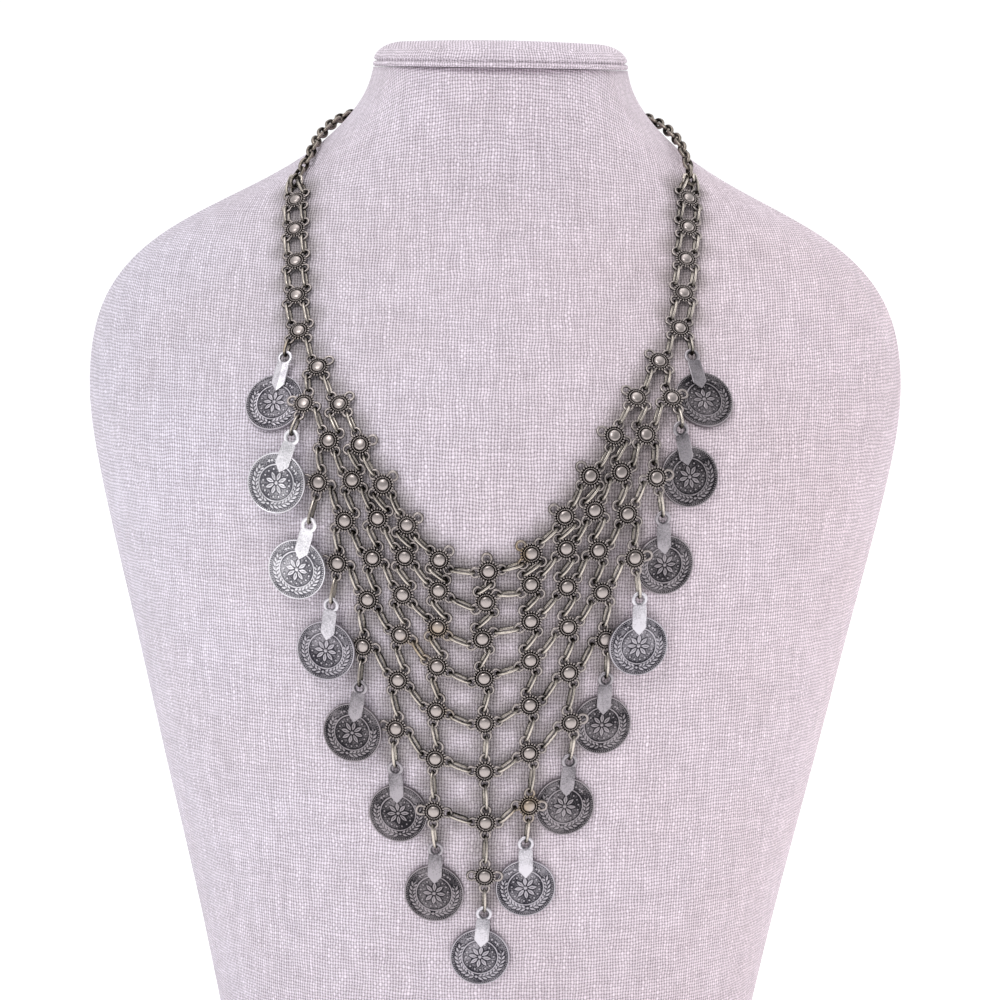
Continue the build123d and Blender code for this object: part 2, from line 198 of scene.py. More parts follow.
def makeRingTree():
    # copies of a piece stand round a ring, turned outwards, and join what is there
    tree, given, result = newTree("ring of copies", [
        ("Copy", "Object"), ("Count", "Int"), ("Ring radius", "Float"), ("Height", "Float"),
        ("Start turn", "Float"), ("Material", "Material")])
    circle = addNode(tree, "GeometryNodeMeshCircle",
                     {"Vertices": given.outputs["Count"], "Radius": given.outputs["Ring radius"]})
    lift = addNode(tree, "ShaderNodeCombineXYZ", {"Z": given.outputs["Height"]})
    start = addNode(tree, "ShaderNodeCombineXYZ", {"Z": given.outputs["Start turn"]})
    placed = addNode(tree, "GeometryNodeTransform", {
        "Geometry": circle.outputs[0], "Translation": lift.outputs[0], "Rotation": start.outputs[0]})
    where = addNode(tree, "ShaderNodeSeparateXYZ",
                    {"Vector": addNode(tree, "GeometryNodeInputPosition").outputs[0]})
    angle = addNode(tree, "ShaderNodeMath", {0: where.outputs["Y"], 1: where.outputs["X"]},
                    operation="ARCTAN2")
    turn = addNode(tree, "ShaderNodeCombineXYZ", {"Z": angle.outputs[0]})
    rotation = addNode(tree, "FunctionNodeEulerToRotation", {0: turn.outputs[0]})
    copy = addNode(tree, "GeometryNodeObjectInfo", {"Object": given.outputs["Copy"]})
    copies = addNode(tree, "GeometryNodeInstanceOnPoints", {
        "Points": placed.outputs[0], "Instance": copy.outputs["Geometry"], "Rotation": rotation.outputs[0]})
    real = addNode(tree, "GeometryNodeRealizeInstances", {"Geometry": copies.outputs[0]})
    joined = addNode(tree, "GeometryNodeJoinGeometry")
    tree.links.new(given.outputs["Geometry"], joined.inputs[0])
    tree.links.new(real.outputs[0], joined.inputs[0])
    painted = addNode(tree, "GeometryNodeSetMaterial",
                      {"Geometry": joined.outputs[0], "Material": given.outputs["Material"]})
    tree.links.new(painted.outputs[0], result.inputs[0])
    return tree


def makePlaceTree():
    # a copy of a piece on each point, turned by "turn" and drawn out along "stretch"
    tree, given, result = newTree("copies in place", [("Copy", "Object"), ("Material", "Material")])
    turn = addNode(tree, "GeometryNodeInputNamedAttribute", {"Name": "turn"}, data_type="FLOAT_VECTOR")
    rotation = addNode(tree, "FunctionNodeEulerToRotation", {0: turn.outputs[0]})
    copy = addNode(tree, "GeometryNodeObjectInfo", {"Object": given.outputs["Copy"]})
    copies = addNode(tree, "GeometryNodeInstanceOnPoints", {
        "Points": given.outputs["Geometry"], "Instance": copy.outputs["Geometry"],
        "Rotation": rotation.outputs[0]})
    real = addNode(tree, "GeometryNodeRealizeInstances", {"Geometry": copies.outputs[0]})
    stretch = addNode(tree, "GeometryNodeInputNamedAttribute", {"Name": "stretch"}, data_type="FLOAT_VECTOR")
    side = addNode(tree, "GeometryNodeInputNamedAttribute", {"Name": "endSide"}, data_type="FLOAT")
    offset = addNode(tree, "ShaderNodeVectorMath", {0: stretch.outputs[0], "Scale": side.outputs[0]},
                     operation="SCALE")
    drawn = addNode(tree, "GeometryNodeSetPosition",
                    {"Geometry": real.outputs[0], "Offset": offset.outputs[0]})
    painted = addNode(tree, "GeometryNodeSetMaterial",
                      {"Geometry": drawn.outputs[0], "Material": given.outputs["Material"]})
    tree.links.new(painted.outputs[0], result.inputs[0])
    return tree


def makeChainTree():
    # links along a curve round the neck, every other one rolled a quarter turn
    tree, given, result = newTree("chain along a curve", [
        ("Link", "Object"), ("Pitch", "Float"), ("First roll", "Float"), ("Neck axis", "Vector"),
        ("Material", "Material")])
    spaced = addNode(tree, "GeometryNodeResampleCurve",
                     {"Curve": given.outputs["Geometry"], "Length": given.outputs["Pitch"]}, mode="LENGTH")
    tangent = addNode(tree, "GeometryNodeInputTangent")
    where = addNode(tree, "GeometryNodeInputPosition")
    away = addNode(tree, "ShaderNodeVectorMath",
                   {0: where.outputs[0], 1: given.outputs["Neck axis"]}, operation="SUBTRACT")
    outwards = addNode(tree, "ShaderNodeVectorMath",
                       {0: away.outputs[0], 1: (1.0, 1.0, 0.0)}, operation="MULTIPLY")
    along = addNode(tree, "FunctionNodeAlignRotationToVector", {"Vector": tangent.outputs[0]}, axis="X")
    upright = addNode(tree, "FunctionNodeAlignRotationToVector",
                      {"Rotation": along.outputs[0], "Vector": outwards.outputs[0]}, axis="Z", pivot_axis="X")
    index = addNode(tree, "GeometryNodeInputIndex")
    odd = addNode(tree, "ShaderNodeMath", {0: index.outputs[0], 1: 2.0}, operation="MODULO")
    roll = addNode(tree, "ShaderNodeMath", {
        0: odd.outputs[0], 1: math.pi / 2, 2: given.outputs["First roll"]}, operation="MULTIPLY_ADD")
    rollTurn = addNode(tree, "FunctionNodeAxisAngleToRotation",
                       {"Axis": (1.0, 0.0, 0.0), "Angle": roll.outputs[0]})
    rolled = addNode(tree, "FunctionNodeRotateRotation",
                     {0: upright.outputs[0], 1: rollTurn.outputs[0]}, rotation_space="LOCAL")
    oneLink = addNode(tree, "GeometryNodeObjectInfo", {"Object": given.outputs["Link"]})
    copies = addNode(tree, "GeometryNodeInstanceOnPoints", {
        "Points": spaced.outputs[0], "Instance": oneLink.outputs["Geometry"], "Rotation": rolled.outputs[0]})
    real = addNode(tree, "GeometryNodeRealizeInstances", {"Geometry": copies.outputs[0]})
    painted = addNode(tree, "GeometryNodeSetMaterial",
                      {"Geometry": real.outputs[0], "Material": given.outputs["Material"]})
    tree.links.new(painted.outputs[0], result.inputs[0])
    return tree


def grow(host, name, steps):
    # runs Geometry Nodes trees on a host, one after the other, and keeps the result as a plain mesh
    for tree, values in steps:
        modifier = host.modifiers.new(tree.name, "NODES")
        modifier.node_group = tree
        for item in tree.interface.items_tree:
            if item.item_type == "SOCKET" and item.in_out == "INPUT" and item.name in values:
                modifier[item.identifier] = values[item.name]
    bpy.context.view_layer.update()
    evaluated = host.evaluated_get(bpy.context.evaluated_depsgraph_get())
    mesh = bpy.data.meshes.new_from_object(evaluated)
    made = bpy.data.objects.new(name, mesh)
    mesh.name = name
    scene.collection.objects.link(made)
    mesh.shade_smooth()
    bpy.data.objects.remove(host)
    return made


def hostOfPoints(name, places, stretches=None):
    # a mesh of bare points, one for each (centre, turn)
    host = meshObject(name, [p[0] for p in places], [])
    setAttribute(host, "turn", "FLOAT_VECTOR", [tuple(p[1]) for p in places])
    if stretches is not None:
        setAttribute(host, "stretch", "FLOAT_VECTOR", stretches)
    return host


ringTree, placeTree, chainTree = makeRingTree(), makePlaceTree(), makeChainTree()


# Materials

def newMaterial(name):
    material = bpy.data.materials.new(name)
    material.use_nodes = True
    tree = material.node_tree
    return material, tree, tree.nodes["Principled BSDF"]


linen = {
    "warpPitch": 0.92 * mm,  # a coarse furnishing linen, about 11 threads to the centimetre across
    "weftPitch": 1.08 * mm,  # and 9 up
    "clothSpan": 0.75,  # metres of cloth across the UV square
    "wander": 0.5,  # how far threads leave their line, in pitches
    "wanderRate": 0.11,  # and how often, in waves to a pitch
    "slubRate": 0.055,  # how fast a thread's own width and tone change along it
    "slim": (-5.3, -2.8),  # how fast a thin and a thick thread fall off to their sides
    "overUnder": 0.48,  # how far a thread rises and dips where it crosses another
    "levels": (0.68, 0.5),  # middle heights of the warp and the weft
    "body": (0.08, 0.5),  # heights between a hole and a thread
    "crest": (0.35, 0.95),  # heights between a thread and its highlight
    # colours of the weave: painted shade in the holes, the threads' own colour, and a painted highlight on
    # their crests
    "holeShade": "#7C7478",
    "thread": "#BDB6B9",
    "highlight": "#FFFAFD",
    "cool": "#F5F4FF", "coolAt": -0.13,  # a faint tint over the whole cloth, cooler to the left
    "warm": "#FFF3FA", "warmAt": 0.11,  # and warmer to the right
    "stain": "#EEE4DC", "stainShare": 0.22, "stainsPerMetre": 22.0,
    "rubbed": "#C3C3BD",  # the faint grey that silver leaves on the cloth behind it, with painted shade where the net shades the cloth
    "markAndShadeReach": 7.5 * mm, "markAndShadeFade": 4.5 * mm,
    "bumpDepth": 0.3 * mm,
    "roughness": 0.92,
    "sheen": 0.15, "sheenRoughness": 0.6,
}


def makeLinen():
    # plain-woven slubbed linen: matt, with pale lilac-ivory threads over greyer holes; the grey of the holes
    # and of low thread parts is painted shade, the crest colour a painted highlight
    material, tree, shader = newMaterial("wovenLinen")
    uv = addNode(tree, "ShaderNodeUVMap", uv_map="cloth")
    counts = (linen["clothSpan"] / linen["warpPitch"], linen["clothSpan"] / linen["weftPitch"], 0)
    threads = addNode(tree, "ShaderNodeVectorMath", {0: uv.outputs[0], 1: counts}, operation="MULTIPLY")
    drift = addNode(tree, "ShaderNodeTexNoise", {
        "Vector": threads.outputs[0], "Scale": linen["wanderRate"], "Detail": 4.0, "Roughness": 0.62})
    centred = addNode(tree, "ShaderNodeVectorMath",
                      {0: drift.outputs["Color"], 1: (0.5, 0.5, 0.5)}, operation="SUBTRACT")
    wander = addNode(tree, "ShaderNodeVectorMath",
                     {0: centred.outputs[0], "Scale": 4 * linen["wander"]}, operation="SCALE")
    moved = addNode(tree, "ShaderNodeVectorMath", {0: threads.outputs[0], 1: wander.outputs[0]})
    axes = addNode(tree, "ShaderNodeSeparateXYZ", {0: moved.outputs[0]})
    profiles, numbers, waves, tones = [], [], [], []
    for axis in (0, 1):
        across = axes.outputs[axis]
        number = addNode(tree, "ShaderNodeMath", {0: across}, operation="FLOOR").outputs[0]
        part = addNode(tree, "ShaderNodeMath", {0: across}, operation="FRACT").outputs[0]
        offset = addNode(tree, "ShaderNodeMath", {0: part, 1: 0.5}, operation="SUBTRACT").outputs[0]
        # a thread's own width and tone change slowly along it, as slubs
        lengthwise = addNode(tree, "ShaderNodeMath", {0: axes.outputs[1 - axis], 1: linen["slubRate"]},
                             operation="MULTIPLY")
        spot = addNode(tree, "ShaderNodeCombineXYZ", {0: number, 1: lengthwise.outputs[0], 2: 17.0 * axis})
        slub = addNode(tree, "ShaderNodeTexNoise", {"Vector": spot.outputs[0], "Scale": 1.7, "Detail": 2.0})
        tone = addNode(tree, "ShaderNodeMapRange", {
            "Value": slub.outputs[0], "From Min": 0.3, "From Max": 0.7})
        square = addNode(tree, "ShaderNodeMath", {0: offset, 1: offset}, operation="MULTIPLY").outputs[0]
        slim = addNode(tree, "ShaderNodeMapRange", {
            "Value": tone.outputs[0], "To Min": linen["slim"][0], "To Max": linen["slim"][1]})
        profile = addNode(tree, "ShaderNodeMath", {0: square, 1: slim.outputs[0], 2: 1.0},
                          operation="MULTIPLY_ADD", use_clamp=True)
        angle = addNode(tree, "ShaderNodeMath", {0: offset, 1: math.pi}, operation="MULTIPLY").outputs[0]
        waves.append(addNode(tree, "ShaderNodeMath", {0: angle}, operation="COSINE").outputs[0])
        profiles.append(profile.outputs[0])
        numbers.append(number)
        tones.append(tone.outputs[0])
    both = addNode(tree, "ShaderNodeMath", {0: numbers[0], 1: numbers[1]}).outputs[0]
    parity = addNode(tree, "ShaderNodeMath", {0: both, 1: 2.0}, operation="FLOORED_MODULO").outputs[0]
    heights = []
    for axis, level in enumerate(linen["levels"]):
        rise = linen["overUnder"] * (1 if axis == 0 else -1)
        over = addNode(tree, "ShaderNodeMapRange",
                       {"Value": parity, "To Min": -rise, "To Max": rise}).outputs[0]
        lift = addNode(tree, "ShaderNodeMath", {0: over, 1: waves[1 - axis], 2: level},
                       operation="MULTIPLY_ADD").outputs[0]
        heights.append(addNode(tree, "ShaderNodeMath", {0: lift, 1: profiles[axis]},
                               operation="MULTIPLY").outputs[0])
    height = addNode(tree, "ShaderNodeMath", {0: heights[0], 1: heights[1]}, operation="MAXIMUM").outputs[0]
    above = addNode(tree, "ShaderNodeMath", {0: heights[0], 1: heights[1]},
                    operation="GREATER_THAN").outputs[0]
    tone = addNode(tree, "ShaderNodeMix", {"Factor": above, 2: tones[1], 3: tones[0]}).outputs[0]
    # by height: low parts of the weave take painted shade, crests a painted highlight
    body, crest = (addNode(tree, "ShaderNodeMapRange", {
        "Value": height, "From Min": linen[part][0], "From Max": linen[part][1]}).outputs[0]
        for part in ("body", "crest"))
    share = addNode(tree, "ShaderNodeMath", {0: tone, 1: 0.52, 2: 0.45}, operation="MULTIPLY_ADD").outputs[0]
    bright = addNode(tree, "ShaderNodeMath", {0: crest, 1: share}, operation="MULTIPLY").outputs[0]
    yarn = addNode(tree, "ShaderNodeMix", {
        0: bright, 6: linear(linen["thread"]), 7: linear(linen["highlight"])}, data_type="RGBA").outputs[2]
    cloth = addNode(tree, "ShaderNodeMix", {0: body, 6: linear(linen["holeShade"]), 7: yarn},
                    data_type="RGBA").outputs[2]
    place = addNode(tree, "ShaderNodeTexCoord").outputs["Object"]
    side = addNode(tree, "ShaderNodeSeparateXYZ", {0: place}).outputs[0]
    warm = addNode(tree, "ShaderNodeMapRange", {
        "Value": side, "From Min": linen["coolAt"], "From Max": linen["warmAt"]}).outputs[0]
    tint = addNode(tree, "ShaderNodeMix", {
        0: warm, 6: linear(linen["cool"]), 7: linear(linen["warm"])}, data_type="RGBA").outputs[2]
    clouds = addNode(tree, "ShaderNodeTexNoise",
                     {"Vector": place, "Scale": linen["stainsPerMetre"], "Detail": 4.0}).outputs[0]
    faint = addNode(tree, "ShaderNodeMapRange", {
        "Value": clouds, "From Min": 0.35, "From Max": 0.7, "To Max": linen["stainShare"]}).outputs[0]
    stained = addNode(tree, "ShaderNodeMix", {
        0: faint, 6: (1, 1, 1, 1), 7: linear(linen["stain"])}, data_type="RGBA").outputs[2]
    # grey behind the net: silver marks on the cloth, and painted shade where the net shades it
    nearMetal = addNode(tree, "ShaderNodeAttribute", attribute_name="nearMetal").outputs["Fac"]
    rubbed = addNode(tree, "ShaderNodeMix", {
        0: nearMetal, 6: (1, 1, 1, 1), 7: linear(linen["rubbed"])}, data_type="RGBA").outputs[2]
    colour = cloth
    for layer in (tint, stained, rubbed):
        colour = addNode(tree, "ShaderNodeMix", {0: 1.0, 6: colour, 7: layer}, data_type="RGBA",
                         blend_type="MULTIPLY").outputs[2]
    tree.links.new(colour, shader.inputs["Base Color"])
    bump = addNode(tree, "ShaderNodeBump",
                   {"Height": height, "Distance": linen["bumpDepth"], "Strength": 0.8})
    tree.links.new(bump.outputs[0], shader.inputs["Normal"])
    shader.inputs["Roughness"].default_value = linen["roughness"]
    shader.inputs["Sheen Weight"].default_value = linen["sheen"]
    shader.inputs["Sheen Roughness"].default_value = linen["sheenRoughness"]
    return material


antique = {
    "grain": 0.45 * mm,  # specks that a casting and its polish leave
    "patchesPerMetre": 140.0,  # rubbed and dull patches, about 7 mm across
    "spotsPerMetre": 60.0,  # yellow tarnish, about 17 mm apart
    "tarnishFrom": (0.63, 0.76), "tarnishShare": 0.6,
    "unevenness": 0.9,
    "rubbedFrom": (0.12, 0.7),
    "bumpDepth": 0.02 * mm,
}


def makeAntiqueMetal(name, polished, oxide, roughness, dullness=0.62, tarnish=None):
    # cast or drawn silver, oxidised black and rubbed back: bright where "wear" is high, dark in recesses
    material, tree, shader = newMaterial(name)
    place = addNode(tree, "ShaderNodeTexCoord").outputs["Object"]
    wear = addNode(tree, "ShaderNodeAttribute", attribute_name="wear").outputs["Fac"]
    specks, patches = (
        addNode(tree, "ShaderNodeTexNoise", {"Vector": place, "Scale": scale, "Detail": detail}).outputs[0]
        for scale, detail in ((1 / antique["grain"], 4.0), (antique["patchesPerMetre"], 2.0)))
    uneven = addNode(tree, "ShaderNodeMath", {0: specks, 1: patches}).outputs[0]
    shift = addNode(tree, "ShaderNodeMath", {
        0: uneven, 1: antique["unevenness"], 2: -antique["unevenness"]}, operation="MULTIPLY_ADD").outputs[0]
    rubbed = addNode(tree, "ShaderNodeMath", {0: wear, 1: shift}).outputs[0]
    low, high = antique["rubbedFrom"]
    bright = addNode(tree, "ShaderNodeMapRange",
                     {"Value": rubbed, "From Min": low, "From Max": high}).outputs[0]
    silver = linear(polished)
    if tarnish:
        spot = addNode(tree, "ShaderNodeTexNoise", {
            "Vector": place, "Scale": antique["spotsPerMetre"], "Detail": 1.0}).outputs[0]
        low, high = antique["tarnishFrom"]
        yellow = addNode(tree, "ShaderNodeMapRange", {
            "Value": spot, "From Min": low, "From Max": high, "To Max": antique["tarnishShare"]}).outputs[0]
        silver = addNode(tree, "ShaderNodeMix", {0: yellow, 6: silver, 7: linear(tarnish)},
                         data_type="RGBA").outputs[2]
    colour = addNode(tree, "ShaderNodeMix", {0: bright, 6: linear(oxide), 7: silver},
                     data_type="RGBA").outputs[2]
    tree.links.new(colour, shader.inputs["Base Color"])
    shader.inputs["Metallic"].default_value = 1.0
    rough = addNode(tree, "ShaderNodeMapRange", {
        "Value": rubbed, "From Min": 0.1, "From Max": 0.9,
        "To Min": dullness, "To Max": roughness}).outputs[0]
    tree.links.new(rough, shader.inputs["Roughness"])
    bump = addNode(tree, "ShaderNodeBump",
                   {"Height": specks, "Distance": antique["bumpDepth"], "Strength": 0.5})
    tree.links.new(bump.outputs[0], shader.inputs["Normal"])
    return material


felt = {"dark": "#8C8587", "pale": "#B5AEB0", "fibresPerMetre": 900.0, "roughness": 0.95}


def makeFelt():
    # pressed grey felt under the base: matt, with fine fibres
    material, tree, shader = newMaterial("baseFelt")
    place = addNode(tree, "ShaderNodeTexCoord").outputs["Object"]
    fibres = addNode(tree, "ShaderNodeTexNoise",
                     {"Vector": place, "Scale": felt["fibresPerMetre"], "Detail": 6.0}).outputs[0]
    colour = addNode(tree, "ShaderNodeMix", {0: fibres, 6: linear(felt["dark"]), 7: linear(felt["pale"])},
                     data_type="RGBA").outputs[2]
    tree.links.new(colour, shader.inputs["Base Color"])
    shader.inputs["Roughness"].default_value = felt["roughness"]
    return material


linenMaterial = makeLinen()
feltMaterial = makeFelt()
rosetteMetal = makeAntiqueMetal("castAntiqueSilver", "#AAA19E", "#141110", roughness=0.38, tarnish="#9A8257")
linkMetal = makeAntiqueMetal("drawnSilverWire", "#C6BDB4", "#1A1613", roughness=0.27, dullness=0.5,
                             tarnish="#A08860")
chainMetal = makeAntiqueMetal("antiqueChainSilver", "#968D84", "#1B1714", roughness=0.36)
# lit, half-lit and shaded copies of one struck silver and one bail silver: painted light, picked per coin
coinMetals = {
    "dark": makeAntiqueMetal("darkStruckSilver", "#9A9397", "#2A282C", roughness=0.44, dullness=0.6),
    "mid": makeAntiqueMetal("struckSilver", "#B4AFB6", "#35333A", roughness=0.42, dullness=0.58),
    "bright": makeAntiqueMetal("rubbedStruckSilver", "#E2DFE4", "#5B5960", roughness=0.38, dullness=0.55),
}
bailMetals = {
    "dark": makeAntiqueMetal("satinBailSilver", "#A49EA3", "#454347", roughness=0.42, dullness=0.55),
    "mid": makeAntiqueMetal("brightBailSilver", "#CFCBD1", "#55545A", roughness=0.4, dullness=0.5),
    "bright": makeAntiqueMetal("whiteBailSilver", "#F4F1F5", "#8C8B90", roughness=0.5, dullness=0.55),
}
print("stage: materials made")


# Neck bust

bust = {"rows": 170, "columns": 288, "smoothing": 6, "inset": 0.05 * mm}


def sectionMiddle(tree, height, guess):
    # the middle of the bust's oval at a height
    hits = [tree.ray_cast(Vector((0, guess, height)), Vector((0, way, 0)))[0] for way in (-1, 1)]
    return (hits[0].y + hits[1].y) / 2


def closeToMetal(points):
    # 1 just behind the net's rosettes and links, smoothly 0 away from them: where the cloth gets grey silver
    # marks and painted shade
    middles = [solid.reshape(-1, 3).mean(axis=0) for node in sorted(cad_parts)
               if "links" in node or "rosettes" in node for solid in islandsOf(node)]
    nearest = np.full(len(points), 1.0)
    for middle in middles:
        nearest = np.minimum(nearest, np.linalg.norm(points - middle, axis=1))
    return np.clip((linen["markAndShadeReach"] - nearest) / linen["markAndShadeFade"], 0, 1)


def makeBust():
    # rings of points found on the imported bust, from its base to the top of its neck
    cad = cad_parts["neck_bust"]
    low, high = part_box("neck_bust")
    surface = BVHTree.FromPolygons([v.co for v in cad.data.vertices], [p.vertices for p in cad.data.polygons])
    rows, columns = bust["rows"], bust["columns"]
    grid = np.empty((rows, columns, 3))
    middle = 0.0
    for r, z in enumerate(np.linspace(low[2] + bust["inset"], high[2] - bust["inset"], rows)):
        middle = sectionMiddle(surface, z, middle)
        for c in range(columns):
            turn = 2 * math.pi * c / columns + math.pi / 2  # the first column is at the back
            way = Vector((math.cos(turn), math.sin(turn), 0))
            grid[r, c] = surface.ray_cast(Vector((0, middle, z)), way)[0]
    for _ in range(bust["smoothing"]):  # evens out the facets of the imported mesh
        sides = (np.roll(grid, 1, axis=1) + np.roll(grid, -1, axis=1)) / 2
        grid[:, :, :2] = 0.5 * grid[:, :, :2] + 0.5 * sides[:, :, :2]
        grid[1:-1, :, :2] = 0.5 * grid[1:-1, :, :2] + 0.25 * (grid[2:, :, :2] + grid[:-2, :, :2])
    grid[0, :, 2], grid[-1, :, 2] = low[2], high[2]
    points = list(grid.reshape(-1, 3)) + [np.array([0, 0, low[2]]), np.array([0, middle, high[2]])]
    faces = ringFaces(evenRings(rows, columns), columns)
    wallCount = len(faces)
    base, top = rows * columns, rows * columns + 1
    for c in range(columns):
        n = (c + 1) % columns
        faces.append((base, n, c))
        faces.append((top, (rows - 1) * columns + c, (rows - 1) * columns + n))
    made = meshObject("linenBust", points, faces)
    setAttribute(made, "nearMetal", "FLOAT", closeToMetal(np.array(points)))
    # cloth lengths: round each oval from the front, and up the front line
    steps = np.linalg.norm(np.diff(np.concatenate([grid, grid[:, :1]], axis=1), axis=1), axis=2)
    around = np.concatenate([np.zeros((rows, 1)), np.cumsum(steps, axis=1)], axis=1)
    around -= around[:, columns // 2][:, None]
    rise = np.linalg.norm(np.diff(grid, axis=0), axis=2)
    upwards = np.concatenate([np.zeros((1, columns)), np.cumsum(rise, axis=0)], axis=0)
    upwards = np.concatenate([upwards, upwards[:, :1]], axis=1)
    layer = made.data.uv_layers.new(name="cloth")
    span = linen["clothSpan"]
    for face in made.data.polygons:
        for loop in face.loop_indices:
            vertex = made.data.loops[loop].vertex_index
            if face.index < wallCount:
                r, c = divmod(vertex, columns)
                if c == 0 and any(v % columns == columns - 1 for v in face.vertices):
                    c = columns
                layer.data[loop].uv = (around[r, c] / span + 0.5, upwards[r, c] / span)
            else:
                place = made.data.vertices[vertex].co
                layer.data[loop].uv = (place.x / span + 0.5, place.y / span + 0.5)
    made.data.materials.append(linenMaterial)
    made.data.materials.append(feltMaterial)
    for face in made.data.polygons[wallCount:]:
        face.use_smooth = False
        if face.center.z < low[2] + mm:
            face.material_index = 1
    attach(made, "root")
    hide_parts("neck_bust")


cap = {"steps": 120, "crownRound": 10.5 * mm, "crownRise": 6.4 * mm, "crownSteps": 12, "piping": 0.9 * mm,
       "pipingSteps": 8, "seam": 0.5 * mm, "seamRise": 0.1 * mm, "inset": 0.2 * mm}


def makeCap():
    # a padded disc under the same cloth, with the stitched seam that joins its top to its side
    low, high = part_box("neck_cap")
    radius, thick = (high[0] - low[0]) / 2, high[2] - low[2]
    middle = ((low[0] + high[0]) / 2, (low[1] + high[1]) / 2, low[2])
    piping, rise, reach = cap["piping"], cap["crownRise"], cap["crownRound"]
    outline = [(0.0, 0.0), (0.5 * radius, 0.0), (radius - 2 * piping, 0.0)]
    for k in range(cap["pipingSteps"] + 1):  # the piped seam round the lower edge
        turn = math.pi * (k / cap["pipingSteps"] - 0.5)
        outline.append((radius - piping + piping * math.cos(turn), piping + piping * math.sin(turn)))
    side = 2 * piping
    outline.append((radius - piping - cap["seam"], side + cap["seamRise"]))
    for k in range(1, cap["crownSteps"] + 1):  # the crown, which curves in from just above the seam
        turn = math.pi / 2 * k / cap["crownSteps"]
        outline.append((radius - cap["inset"] - reach * (1 - math.cos(turn)), side + rise * math.sin(turn)))
    top, inner = side + rise, radius - cap["inset"] - reach
    for share in (0.93, 0.8, 0.6, 0.4, 0.2, 0.0):
        outline.append((inner * share, top + (thick - top) * (1 - share ** 2)))
    points, faces = lathe(outline, cap["steps"])
    made = meshObject("linenCap", [Vector(point) + Vector(middle) for point in points], faces)
    layer = made.data.uv_layers.new(name="cloth")
    span = linen["clothSpan"]
    lengths = [0.0]
    for near, far in zip(outline, outline[1:]):
        lengths.append(lengths[-1] + math.dist(near, far))
    for face in made.data.polygons:
        flat = face.normal.z > 0.8 or face.normal.z < -0.8
        turns = []
        for loop in face.loop_indices:
            vertex = made.data.loops[loop].vertex_index
            place = made.data.vertices[vertex].co
            x, y, ring = place.x - middle[0], place.y - middle[1], (vertex + cap["steps"] - 1) // cap["steps"]
            if flat:
                layer.data[loop].uv = (x / span + 0.5, y / span + 0.5)
            else:
                turn = math.atan2(x, -y)
                if turns and turn - turns[0] > math.pi:
                    turn -= 2 * math.pi
                elif turns and turns[0] - turn > math.pi:
                    turn += 2 * math.pi
                turns.append(turn)
                layer.data[loop].uv = (turn * radius / span + 0.5, lengths[ring] / span)
    made.data.materials.append(linenMaterial)
    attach(made, "root")
    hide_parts("neck_cap")


makeBust()
makeCap()
print("stage: bust and cap made")


# Rosettes

rosette = {
    "steps": 28,
    "plate": (  # radius, height, wear
        (0.0, -0.34, 0.2), (2.7, -0.34, 0.2), (3.0, -0.2, 0.1), (3.06, 0.0, 0.0), (2.95, 0.16, 0.0),
        (2.62, 0.18, 0.0), (2.1, 0.16, 0.0), (1.97, 0.12, 0.0), (1.84, 0.16, 0.1)),
    "plateReach": 3.3 * mm,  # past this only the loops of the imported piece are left
    "domeRadius": 1.78 * mm,
    "dome": ((1.0, 0.36), (0.97, 0.6), (0.86, 0.82), (0.66, 0.98), (0.36, 1.07), (0.0, 1.1)),  # share, height
    "beads": 28, "beadRing": 2.28 * mm, "beadRadius": 0.245 * mm, "beadHeight": 0.3 * mm,
    "studs": 22, "studRing": 3.1 * mm, "studRadius": 0.31 * mm, "studStretch": 1.45, "studHeight": 0.28 * mm,
    "studStart": 0.1,  # the turn of the first stud, which sets studs off from beads
    "loopReach": 3.95 * mm, "loopRadius": 1.42 * mm, "loopWire": 0.46 * mm, "loopHeight": -0.32 * mm,
    "loopSteps": 20, "loopSides": 8,
}


def makeBall(name, radius, wear):
    # a low round bead, bright on top and dull at its foot
    profile = [(0, -0.6 * radius), (0.8 * radius, -0.45 * radius), (radius, 0.1 * radius),
               (0.62 * radius, 0.78 * radius), (0, radius)]
    points, faces = lathe(profile, 7)
    made = meshObject(name, points, faces)
    setAttribute(made, "wear", "FLOAT", [wear * (0.25 + 0.75 * max(0, p[2] / radius)) for p in points])
    return made


def crestWear(height, wire):
    # a wire is rubbed bright where it faces out, and dark at its sides and back
    return 0.1 + 0.8 * max(0.0, height / wire) ** 2


